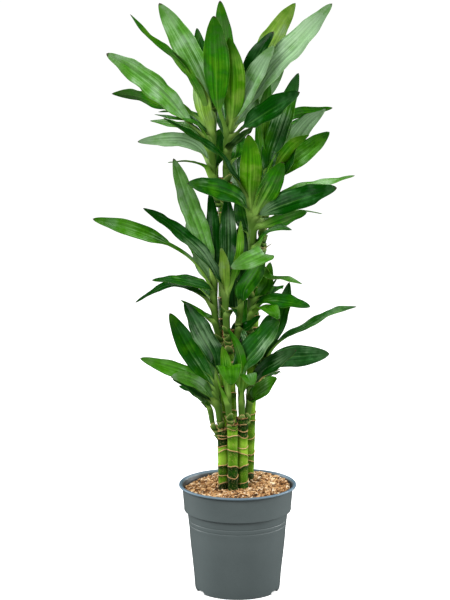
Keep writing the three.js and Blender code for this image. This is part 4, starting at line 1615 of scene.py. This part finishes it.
@dataclass
class Pot:
    """The grow pot: a tapered body with two fine grooves, an upright band and a rolled lip."""

    height: float = 224.0
    lip_radius: float = 121.5
    band_top: float = 218.0
    band_bottom: float = 169.5
    ledge: float = 166.5
    band_radius: float = 112.5
    body_radius: float = 100.4
    foot_radius: float = 87.0
    foot_width: float = 9.0  # the ring that it stands on
    foot_rise: float = 7.0  # the underside lies this high over the table
    pad_radius: float = 24.0  # the round pad in the middle, which touches the table
    wall: float = 2.2
    taper: tuple[Pair, ...] = (  # (radius, height)
        (90.4, 30.0), (94.0, 65.0), (96.2, 84.0), (98.0, 101.0), (99.5, 120.0))
    taper_top: float = 134.0
    grooves: tuple[Pair, ...] = ((101.2, 141.0), (102.2, 150.5))
    groove_section: tuple[Pair, ...] = (
        (0.1, -1.8), (0.05, -1.1), (-0.25, -0.5), (-0.35, 0.0), (-0.15, 0.5), (0.3, 1.1), (0.45, 1.8))
    soil_shelf: float = 136.0  # from here up the inside follows the ledge
    drain_turns: tuple[float, ...] = (28.0, 152.0, 208.0, 332.0)  # degrees from +X
    drain_radius: float = 5.0
    drain_ring: float = 50.0  # how far the drain holes lie from the middle
    notch: Pair = (29.0, 6.4)  # width and height
    sides: int = 160

    def inner_radius(self, z: float) -> float:
        """The inner wall's radius.

        Args:
            z: the height where it is asked for.

        Returns:
            The radius there.
        """
        levels = [self.foot_rise, self.soil_shelf, self.ledge, self.ledge + 7, self.band_top, self.height]
        radii = [self.foot_radius - 3, self.body_radius - self.wall, self.body_radius + 1.6,
                 self.band_radius - 3.7, self.band_radius, self.lip_radius - 5.5]
        return float(np.interp(z, levels, radii))

    def profile(self) -> Profile:
        """The wall's section.

        Returns:
            Its points, up the outside and down the inside.
        """
        floor = self.foot_rise + self.wall
        foot, rise, pad = self.foot_radius, self.foot_rise, self.pad_radius
        inner_foot = foot - self.foot_width
        outside = [(0.2, 0.0), (pad, 0.0), (pad + 0.8, 0.4), (pad + 3, rise), (inner_foot - 2, rise),
                   (inner_foot - 0.3, 0.5), (inner_foot + 0.3, 0.0), (foot - 1.8, 0.0)]
        outside += bend((foot - 1.6, 2.2), 2.2, -80, 0, 4)
        outside += [(foot + 1.6, rise), *self.taper, (self.body_radius, self.taper_top)]
        for radius, height in self.grooves:
            outside += [(radius + out, height + up) for out, up in self.groove_section]
        band, top, ledge = self.band_radius, self.band_top, self.ledge
        outside += [(self.body_radius + 3.4, ledge - 3), (self.body_radius + 3.8, ledge - 0.6)]
        outside += bend((self.body_radius + 5.0, ledge - 0.5), 1.2, 180, 100, 2)
        outside += bend((band - 3.4, self.band_bottom + 0.6), 1.8, -75, 0, 4)
        outside += [(band - 1.5, 175.0), (band, 192.0), (band + 1.8, top - 4), (band + 2, top - 0.5)]
        outside += bend((band + 3.1, top - 0.4), 1.1, 180, 90, 3)
        outside += bend((self.lip_radius - 2.0, top + 2.9), 2.0, -90, 0, 4)
        outside += bend((self.lip_radius - 2.4, self.height - 2.4), 2.4, 0, 100, 6)
        levels = (self.height - 0.8, top, ledge + 7, ledge, self.soil_shelf, 60.0, floor + 4)
        inside = [(self.inner_radius(z), z) for z in levels]
        bottom = [(self.inner_radius(floor + 4) - 1.5, floor + 1.2),
                  (self.inner_radius(floor + 4) - 4, floor), (0.2, floor)]
        return outside + inside + bottom

    def build(self, plastic: Material) -> None:
        """Makes the pot with its foot notches and drain holes, and hands it over.

        Args:
            plastic: its finish.
        """
        draft = Draft()
        rings = [ring(np.array([0.0, 0.0, z]), r, self.sides) for r, z in self.profile()]
        draft.sleeve(np.array(rings), 0.5, 0)
        piece = draft.build("grow_pot", [plastic])
        cutter = self._cutter()
        cut = piece.modifiers.new("drainage", "BOOLEAN")
        cut.operation = "DIFFERENCE"
        cut.object = cutter
        mesh = applied(piece)
        bpy.data.objects.remove(cutter)
        mesh.shade_smooth()
        mesh.set_sharp_from_angle(angle=math.radians(38.0))
        hand_over(piece, "pot", "pot")

    def _cutter(self) -> Piece:
        """Makes the solid of the foot notches and drain holes.

        Returns:
            The solid, an object at the origin.
        """
        draft = Draft()
        wide, high = self.notch
        deep = self.foot_width
        corners = [(-deep, -wide / 2), (deep, -wide / 2), (deep, wide / 2), (-deep, wide / 2)]
        for degrees in self.drain_turns:
            out, side = spokes(math.radians(degrees))
            middle = out * (self.foot_radius - 2)
            box = [[middle + out * a + side * b * spread + UP * z for a, b in corners]
                   for z, spread in ((-high, 1.0), (high - 1.5, 1.0), (high, 0.9))]
            draft.sleeve(np.array(box), 0.5, 0)
            hole = out * self.drain_ring
            ends = (-1.0, self.foot_rise + self.wall + 3)
            draft.sleeve(np.array([ring(hole + UP * z, self.drain_radius, 24) for z in ends]), 0.5, 0)
        return draft.build("drainage_cutter", [])


# ------------------------ studio

@dataclass(frozen=True)
class SoftLight:
    """A large, soft studio lamp that looks at the plant."""

    name: str
    place: Point  # in metres
    size: float  # its width in metres
    power: float  # in watts

    def build(self, target: Vector) -> None:
        """Adds the lamp.

        Args:
            target: the place that it looks at, in metres.
        """
        data = bpy.data.lights.new(self.name, "AREA")
        data.shape = "DISK"
        data.size = self.size
        data.energy = self.power
        lamp = placed(self.name, data)
        lamp.location = self.place
        lamp.rotation_euler = (target - Vector(self.place)).to_track_quat("-Z", "Y").to_euler()


@dataclass
class Studio:
    """A plain pale floor, soft lamps and a camera where the photograph was taken from."""

    pitch: float = 80.25  # degrees up from straight down
    lens: float = 119.64  # focal length in millimetres
    target: Point = (0.0, 0.0, 0.6)  # the lamps look at it
    sky: float = 0.62
    paper_white: float = 0.96
    paper_glow: float = 0.45  # makes the paper look white, as if it had lamps of its own
    paper_bounce: float = 0.3  # how much of the light the paper throws back at the plant
    mirrored_sky: float = 0.03  # what gloss mirrors of the room, which is dim
    floor_size: float = 120.0
    lamps: tuple[SoftLight, ...] = (
        SoftLight("key_lamp", (-1.9, -2.6, 2.6), 1.8, 105.0),
        SoftLight("fill_lamp", (2.4, -1.8, 1.7), 1.6, 46.0),
        SoftLight("top_lamp", (0.3, 0.6, 3.0), 1.4, 52.0),
        SoftLight("left_edge_lamp", (-2.6, 0.8, 0.8), 1.2, 60.0),
        SoftLight("right_edge_lamp", (2.6, 0.8, 0.8), 1.2, 60.0),
    )

    def build(self) -> None:
        """Adds the camera, the lamps, the sky and the floor."""
        self._camera()
        for lamp in self.lamps:
            lamp.build(Vector(self.target))
        self._sky()
        self._floor()

    def _camera(self) -> None:
        """Adds the camera at the photograph's viewing angle."""
        scene = bpy.context.scene
        camera = placed("camera", bpy.data.cameras.new("camera"))
        camera.data.sensor_width = 36.0
        camera.data.lens = self.lens
        camera.data.clip_end = 400.0
        camera.location = Vector(EYE * MM)
        camera.rotation_euler = Euler((math.radians(self.pitch), 0.0, 0.0))
        scene.camera = camera
        scene.view_settings.view_transform = "Standard"

    def _sky(self) -> None:
        """Adds an even white light from all round, which gloss hardly mirrors."""
        world = bpy.data.worlds.new("studio")
        world.use_nodes = True
        background = world.node_tree.nodes["Background"]
        background.inputs["Color"].default_value = (1.0, 1.0, 1.0, 1.0)
        sky = Graph(world.node_tree)
        ray = sky.add("ShaderNodeLightPath").outputs["Is Glossy Ray"]
        strength = sky.math("MULTIPLY_ADD", ray, self.mirrored_sky - self.sky, self.sky)
        world.node_tree.links.new(strength, background.inputs["Strength"])
        bpy.context.scene.world = world

    def _floor(self) -> None:
        """Adds the floor of white paper."""
        settings = {"Roughness": 0.9, "Emission Color": (1.0, 1.0, 1.0, 1.0), "Specular IOR Level": 0.0}
        graph, shader, paper = new_material("floor_paper", settings)
        ray = graph.add("ShaderNodeLightPath")
        shades = (self.paper_white, self.paper_bounce, self.mirrored_sky)
        white, grey, dim = ((shade, shade, shade, 1.0) for shade in shades)
        tint = graph.mix(ray.outputs["Is Diffuse Ray"], white, grey)
        tint = graph.mix(ray.outputs["Is Glossy Ray"], tint, dim)
        glow = graph.math("MULTIPLY", ray.outputs["Is Camera Ray"], self.paper_glow)
        graph.tree.links.new(tint, shader.inputs["Base Color"])
        graph.tree.links.new(glow, shader.inputs["Emission Strength"])
        reach = self.floor_size
        corners = [(-reach, -reach, 0), (reach, -reach, 0), (reach, reach, 0), (-reach, reach, 0)]
        mesh = bpy.data.meshes.new("floor")
        mesh.from_pydata(corners, [], [(0, 1, 2, 3)])
        mesh.materials.append(paper)
        placed("floor", mesh)


# ------------------------ the plant's canes and leaves

CANES = (
    Cane("cane_1", (-27, 0), (-31, 0), 340, 10.3,
         (223, 239, 266, 292, 303, 319, 327, 335),
         tones=(0.1, 0.6, 0.35, 0.85, 0.8, 0.1, 0.15, 0.15, 0.2)),
    Cane("cane_2", (-8, -15), (-11, -15), 352, 10,
         (244, 262, 296, 327, 343),
         tones=(0.3, 0.2, 0.55, 0.6, 0.66, 0.35)),
    Cane("cane_3", (13, 1), (9, 0), 362, 10.8,
         (228, 259, 285, 302, 327, 337, 350),
         tones=(0.5, 0.42, 0.72, 0.85, 0.8, 0.2, 0.15, 0.2)),
    Cane("cane_4", (19, 44), (36, 42), 690, 10.5,
         (232, 261, 281, 313, 345, 362, 398, 436, 470, 508, 545, 575, 598, 623, 642, 660),
         tones=(0.3, 0.55, 0.5, 0.7, 0.55, 0.6, 0.7, 0.5, 0.6, 0.4, 0.5, 0.6, 0.4, 0.5, 0.4, 0.4, 0.3)),
    Cane("cane_5", (3, 30), (-20, 20), 540, 10.5,
         (236, 270, 306, 340, 372, 408, 444, 478, 503, 516, 528), husk=36.0),
    Cane("cane_6", (-27, 46), (-30, 44), 852, 10.6,
         (240, 282, 326, 370, 418, 466, 512, 560, 606, 652, 700, 744, 786, 815, 838)),
)

SHOOTS = (
    Shoot("shoot_top_left", (9, 6),
          ((-36, 800, 44), (-47, 850, 40), (-52, 900, 36), (-50, 960, 33), (-48, 1005, 32)), (
        Leaf(965, ((-70, 1045, 40), (-113, 1132, 58), (-157, 1206, 84)), 55, 50, Tone.PALE),
        Leaf(955, ((-90, 1048, -16), (-121, 1092, -30), (-158, 1124, -42), (-180, 1142, -48),
             (-215, 1184, -55)), 32, -12),
        Leaf(972, ((-90, 1060, -6), (-112, 1086, -36), (-132, 1110, -46)), 26, 35),
        Leaf(925, ((-97, 965, 18), (-150, 1020, 0), (-205, 1066, -16),
             (-263, 1106, -36)), 60, 58, Tone.PALE, 0.22),
        Leaf(950, ((-103, 990, 58), (-160, 1006, 78), (-205, 1022, 88),
             (-253, 1026, 92)), 44, -45, Tone.MID, 0.25),
        Leaf(985, ((-70, 1080, 78), (-82, 1157, 112)), 34, 30),
        Leaf(940, ((-68, 985, 12), (-76, 1020, 4), (-87, 1062, -8)), 40, -10, Tone.PALE, 0.05),
        Leaf(912, ((-80, 962, 18), (-105, 973, 8), (-130, 977, 0), (-168, 985, -6)), 22, 20),
        Leaf(905, ((-90, 952, 24), (-125, 963, 14), (-177, 972, 6)), 34, 25, Tone.BRIGHT),
        Leaf(875, ((-80, 918, 50), (-110, 932, 58), (-150, 933, 64), (-202, 930, 68)), 36, 50, Tone.FROST),
        Leaf(850, ((-70, 881, 26), (-100, 890, 20), (-142, 888, 12)), 26, -5, Tone.BRIGHT),
        Leaf(975, ((-60, 1050, 90), (-75, 1130, 150)), 46, 0),
        Leaf(930, ((-100, 985, 100), (-160, 990, 170)), 44, 0),
        Leaf(862, ((-42, 900, 70), (-36, 956, 130)), 46, 0),
    )),
    Shoot("shoot_top_middle", (9, 6),
          ((-30, 800, 44), (-23, 850, 38), (-22, 900, 32), (-18, 950, 28), (-15, 990, 26)), (
        Leaf(935, ((-30, 968, 4), (-40, 1000, -14), (-44, 1090, -60),
             (-48, 1181, -104)), 54, 0, Tone.MID, 0.26),
        Leaf(960, ((-24, 1060, -2), (-30, 1140, -22), (-36, 1211, -38)), 45, 0),
        Leaf(940, ((-10, 985, 4), (-8, 1040, -22), (-10, 1080, -42), (-18, 1138, -66)), 47, 0, Tone.BRIGHT),
        Leaf(903, ((-6, 925, -24), (30, 961, -84)), 36, 10, Tone.DARK),
        Leaf(970, ((20, 1040, 34), (57, 1108, 38), (86, 1162, 40), (114, 1206, 44)), 58, -68, Tone.PALE),
        Leaf(955, ((38, 1035, 18), (70, 1080, 14), (115, 1125, 12), (187, 1205, 8)), 57, 60, Tone.FROST),
        Leaf(965, ((20, 1060, 12), (44, 1112, 4), (71, 1150, 0)), 44, 72, Tone.DARK),
        Leaf(950, ((25, 1045, -4), (50, 1090, -12), (72, 1122, -16)), 44, 84, Tone.FROST),
        Leaf(945, ((36, 1010, 60), (64, 1040, 70), (92, 1078, 80)), 32, 60, Tone.FROST),
        Leaf(930, ((25, 968, -18), (45, 981, -34), (80, 1003, -56),
             (124, 1029, -78)), 54, 66, Tone.DARK, 0.28),
        Leaf(980, ((-28, 1070, 90), (-40, 1140, 150)), 46, 0),
        Leaf(880, ((-6, 902, 50), (-2, 950, 110)), 44, 0),
        Leaf(915, ((-30, 1000, 120), (-45, 1030, 200)), 46, 0),
    )),
    Shoot("shoot_right_back", (9, 6),
          ((40, 650, 48), (47, 700, 54), (54, 790, 54), (64, 880, 54), (68, 925, 54)), (
        Leaf(850, ((66, 905, 34), (79, 945, 28), (95, 992, 24), (112, 1042, 20),
             (121, 1068, 18)), 46, 96, Tone.MID, 0),
        Leaf(845, ((50, 905, 42), (50, 950, 42), (55, 1000, 40), (63, 1050, 34)), 32, 0),
        Leaf(860, ((46, 920, 40), (40, 960, 34), (37, 1000, 30), (36, 1042, 26)), 26, 20),
        Leaf(905, ((110, 982, 66), (150, 990, 74), (190, 998, 82)), 30, -55),
        Leaf(870, ((115, 937, 64), (140, 969, 70), (176, 998, 78)), 40, 62, Tone.FROST),
        Leaf(875, ((98, 940, 40), (111, 973, 36)), 30, 30),
        Leaf(850, ((92, 900, 24), (112, 925, 12), (143, 944, 4)), 34, -30, Tone.BRIGHT),
        Leaf(840, ((113, 893, 44), (147, 919, 48), (184, 950, 52)), 45, 65, Tone.BRIGHT),
        Leaf(830, ((95, 870, 36), (118, 918, 32)), 36, 40),
        Leaf(790, ((100, 826, 58), (150, 842, 62), (190, 849, 64), (236, 862, 68)), 36, 15, Tone.PALE),
        Leaf(885, ((95, 945, 110), (135, 980, 170)), 46, 0),
        Leaf(820, ((110, 885, 120), (150, 905, 190)), 46, 0),
        Leaf(800, ((50, 880, 120), (30, 900, 195)), 46, 0),
    )),
    Shoot("shoot_right_front", (9.5, 7),
          ((36, 655, 34), (31, 700, 22), (29, 750, 17), (29, 805, 15)), (
        Leaf(784, ((25, 830, -10), (26, 880, -34), (24, 925, -50), (21, 945, -58)), 46, 0, Tone.BRIGHT),
        Leaf(775, ((50, 840, -10), (64, 880, -22), (78, 907, -34)), 36, 45, Tone.BRIGHT),
        Leaf(770, ((62, 830, -24), (76, 860, -42), (90, 890, -60)), 44, -40),
        Leaf(770, ((5, 812, -12), (-20, 826, -28), (-60, 838, -56), (-102, 846, -90)), 48, 62),
        Leaf(765, ((60, 789, -10), (100, 805, -28), (150, 821, -50), (200, 837, -72)), 58, 54, Tone.DARK),
        Leaf(750, ((70, 760, 24), (105, 774, 30), (140, 788, 36)), 50, -45),
        Leaf(760, ((80, 775, 46), (130, 789, 56), (172, 784, 60)), 20, 10, Tone.FROST),
        Leaf(705, ((58, 744, 6), (82, 755, -4), (110, 751, -12)), 30, 20),
        Leaf(785, ((0, 848, -12), (-15, 868, -20), (-35, 902, -32), (-80, 935, -54),
             (-150, 978, -82)), 34, 35, Tone.DARK),
        Leaf(658, ((60, 652, 14), (95, 651, 2), (132, 640, -8)), 26, 10, Tone.PALE),
        Leaf(695, ((54, 703, -16), (44, 697, -52), (-15, 672, -86)), 46, 30, Tone.PALE),
        Leaf(700, ((50, 712, 16), (69, 724, 8)), 10, 0, Tone.DRY),
        Leaf(785, ((20, 860, 60), (10, 920, 105)), 44, 0),
        Leaf(770, ((4, 840, 80), (-8, 900, 140)), 48, 0),
        Leaf(725, ((16, 765, 80), (2, 825, 130)), 46, 0),
    )),
    Shoot("shoot_middle_left", (7.5, 5.5),
          ((-21, 490, 22), (-40, 540, 18), (-47, 590, 10), (-47, 650, 4)), (
        Leaf(640, ((-68, 715, 0), (-83, 758, -4), (-104, 815, -6), (-130, 897, -4)), 50, 60, Tone.PALE),
        Leaf(645, ((-50, 720, 14), (-52, 780, 24), (-57, 830, 36)), 30, 0, Tone.DARK),
        Leaf(620, ((-63, 648, -6), (-94, 690, -14), (-146, 724, -24), (-219, 754, -32),
             (-294, 774, -36)), 35, 60, Tone.BRIGHT, 0.48),
        Leaf(605, ((-56, 627, -12), (-88, 639, -30), (-130, 648, -50), (-175, 648, -70)), 31, 30),
        Leaf(585, ((-70, 613, -4), (-100, 630, -8), (-140, 638, -10), (-175, 622, -12),
             (-209, 602, -14)), 30, 15, Tone.DARK),
        Leaf(628, ((-62, 668, 20), (-90, 706, 28)), 36, 50, Tone.FROST),
        Leaf(556, ((-65, 573, 10), (-90, 588, 14), (-117, 608, 16)), 24, 20, Tone.BRIGHT),
        Leaf(638, ((-80, 712, 80), (-102, 770, 140)), 44, 0),
        Leaf(600, ((-100, 650, 80), (-170, 650, 140)), 44, 0),
    )),
    Shoot("shoot_middle_front", (7.5, 5.5),
          ((-17, 500, 16), (-22, 545, 1), (-25, 600, -4), (-22, 645, -4)), (
        Leaf(610, ((-40, 648, -26), (-75, 705, -36), (-112, 740, -42), (-150, 770, -52),
             (-192, 796, -60)), 42, 45, Tone.DARK),
        Leaf(635, ((-20, 700, 6), (-20, 760, 16), (-22, 823, 30)), 36, 0, Tone.DARK),
        Leaf(613, ((-27, 655, -26), (-28, 685, -44), (-34, 716, -62)), 22, 0, Tone.PALE),
        Leaf(620, ((-4, 660, -12), (3, 695, -12), (6, 725, -10), (6, 772, -6)), 22, -50, Tone.BRIGHT),
        Leaf(575, ((-10, 586, -14), (0, 570, -20)), 10, 0, Tone.DARK),
    )),
    Shoot("shoot_middle_right", (7, 5),
          ((-8, 505, 24), (1, 555, 12), (5, 600, 8), (4, 635, 6)), (
        Leaf(590, ((15, 630, -8), (35, 660, -8), (54, 697, -4)), 46, 65),
        Leaf(542, ((24, 555, 2), (47, 576, -2)), 26, 40, Tone.DARK),
        Leaf(625, ((4, 700, 52), (8, 765, 95)), 40, 0, Tone.DARK),
        Leaf(580, ((-4, 590, 60), (-6, 640, 96), (-4, 690, 124)), 46, 0, Tone.DARK),
    )),
    Shoot("shoot_middle_back", (7, 5),
          ((32, 490, 42), (25, 540, 26), (26, 590, 20), (28, 625, 20)), (
        Leaf(580, ((60, 606, 2), (100, 603, -22), (148, 593, -50)), 40, 30),
        Leaf(600, ((56, 638, 38), (62, 663, 40), (66, 686, 42)), 28, 50, Tone.BRIGHT),
        Leaf(582, ((58, 620, 36), (80, 652, 44)), 20, 0, Tone.BRIGHT),
        Leaf(570, ((48, 590, -20), (64, 590, -52), (84, 567, -90)), 38, 10, Tone.BRIGHT),
        Leaf(596, ((62, 618, 44), (72, 632, 100), (80, 636, 175)), 44, 0),
        Leaf(590, ((20, 660, 80), (0, 700, 140)), 44, 0),
    )),
    Shoot("shoot_low_back", (6.5, 5),
          ((33, 400, 44), (45, 440, 32), (54, 480, 26)), (
        Leaf(472, ((66, 515, 24), (82, 555, 26), (96, 600, 30), (105, 645, 36)), 36, 50),
        Leaf(460, ((75, 510, 8), (100, 531, 4), (132, 547, 0), (165, 567, -4), (200, 585, -6),
             (243, 594, -8)), 30, 25, Tone.MID, 0.3),
        Leaf(445, ((70, 475, 28), (100, 488, 36), (140, 492, 42), (188, 496, 48)), 47, 65, Tone.DULL),
        Leaf(465, ((58, 520, 84), (66, 578, 130)), 50, 0),
        Leaf(450, ((30, 510, 70), (14, 570, 110), (10, 620, 140)), 44, 0),
        Leaf(425, ((66, 455, 100), (72, 452, 180)), 42, 0),
    )),
    Shoot("shoot_low_right", (6.5, 5),
          ((16, 342, 4), (22, 380, 0), (25, 420, -6)), (
        Leaf(412, ((50, 458, -14), (85, 482, -30), (120, 504, -46)), 44, 50, Tone.DARK),
        Leaf(400, ((50, 446, 0), (90, 465, 4)), 30, -20, Tone.DRY),
        Leaf(392, ((40, 412, -34), (60, 426, -58), (81, 444, -84)), 48, 64, Tone.BRIGHT),
    )),
    Shoot("shoot_low_middle", (6.5, 5),
          ((8, 348, 1), (8, 380, -10), (6, 435, -14)), (
        Leaf(420, ((12, 475, -18), (36, 507, -26), (60, 537, -32), (86, 569, -38)), 62, 60),
        Leaf(390, ((12, 430, -44), (18, 452, -76), (30, 428, -116)), 44, 0, Tone.BRIGHT, 0.26),
        Leaf(428, ((8, 480, -24), (-4, 520, -30), (-21, 549, -36)), 20, -30),
        Leaf(400, ((9, 430, 30), (8, 470, 64), (2, 520, 90), (-6, 562, 106)), 46, 0, Tone.DARK, 0.42),
    )),
    Shoot("shoot_low_front", (6.5, 5),
          ((-12, 335, -13), (-18, 372, -27), (-20, 420, -30)), (
        Leaf(410, ((-20, 445, -52), (-18, 469, -84), (-12, 430, -126)), 50, 0, Tone.BRIGHT, 0.28),
        Leaf(395, ((-38, 430, -38), (-44, 455, -42)), 14, 0, Tone.BRIGHT),
        Leaf(412, ((-22, 455, -38), (-26, 487, -40), (-32, 513, -42)), 24, -40, Tone.BRIGHT),
    )),
    Shoot("shoot_low_left", (7, 5),
          ((-31, 325, 0), (-37, 360, -10), (-40, 400, -12), (-41, 445, -12)), (
        Leaf(415, ((-75, 465, 6), (-97, 500, 10), (-117, 538, 14), (-139, 581, 18)), 44, 60),
        Leaf(435, ((-50, 490, -18), (-68, 525, -24), (-86, 560, -28), (-109, 603, -30)), 55, 60, Tone.DARK),
        Leaf(405, ((-75, 438, 0), (-112, 456, 0), (-152, 470, 2), (-200, 487, 4)), 36, 55, Tone.BRIGHT),
        Leaf(390, ((-60, 410, -24), (-80, 430, -40), (-110, 444, -60),
             (-137, 447, -80)), 42, 45, Tone.PALE),
        Leaf(385, ((-80, 416, -8), (-110, 434, -12), (-134, 443, -14)), 30, 30, Tone.DARK),
        Leaf(430, ((-75, 480, 40), (-110, 515, 100)), 44, 0),
        Leaf(395, ((-95, 445, 60), (-140, 468, 130)), 42, 0),
    )),
    Shoot("shoot_low_outer", (5.5, 4),
          ((-34, 312, 2), (-50, 345, 0), (-56, 382, 0)), (
        Leaf(378, ((-68, 400, -2), (-94, 420, -6)), 24, 45, Tone.PALE),
        Leaf(368, ((-60, 383, 6), (-76, 395, 8)), 12, 0, Tone.DARK),
        Leaf(375, ((-80, 410, 60), (-120, 430, 120)), 36, 0),
    )),
)


def main() -> None:
    """Builds the studio and the plant."""
    logging.basicConfig(level=logging.INFO, format="%(name)s %(message)s")
    LOG.info("dressing %d packed nodes", len(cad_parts))
    Studio().build()

    pot = Pot()
    pot.build(PLASTIC.material())
    levels = (pot.foot_rise + pot.wall + 4.0, pot.soil_shelf, pot.ledge, pot.ledge + 7.0)
    walls = [(pot.inner_radius(z) - SOIL_GAP, z) for z in levels]
    soil = SoilBed(pot.inner_radius(SOIL_TOP) - SOIL_GAP, walls)
    soil.build(LOAM.material(), BARK.material(), scatter_tree())

    cane_finishes = [CANE.material(), HUSK.material()]
    scar, scars = SCAR.material(), scar_tree()
    for cane in CANES:
        cane.build(cane_finishes, scar, scars)
    leaf_finishes = [UPPER.material(), UNDER.material(), STEM.material()]
    for shoot in SHOOTS:
        shoot.build(leaf_finishes)


if __name__ == "__main__":
    main()
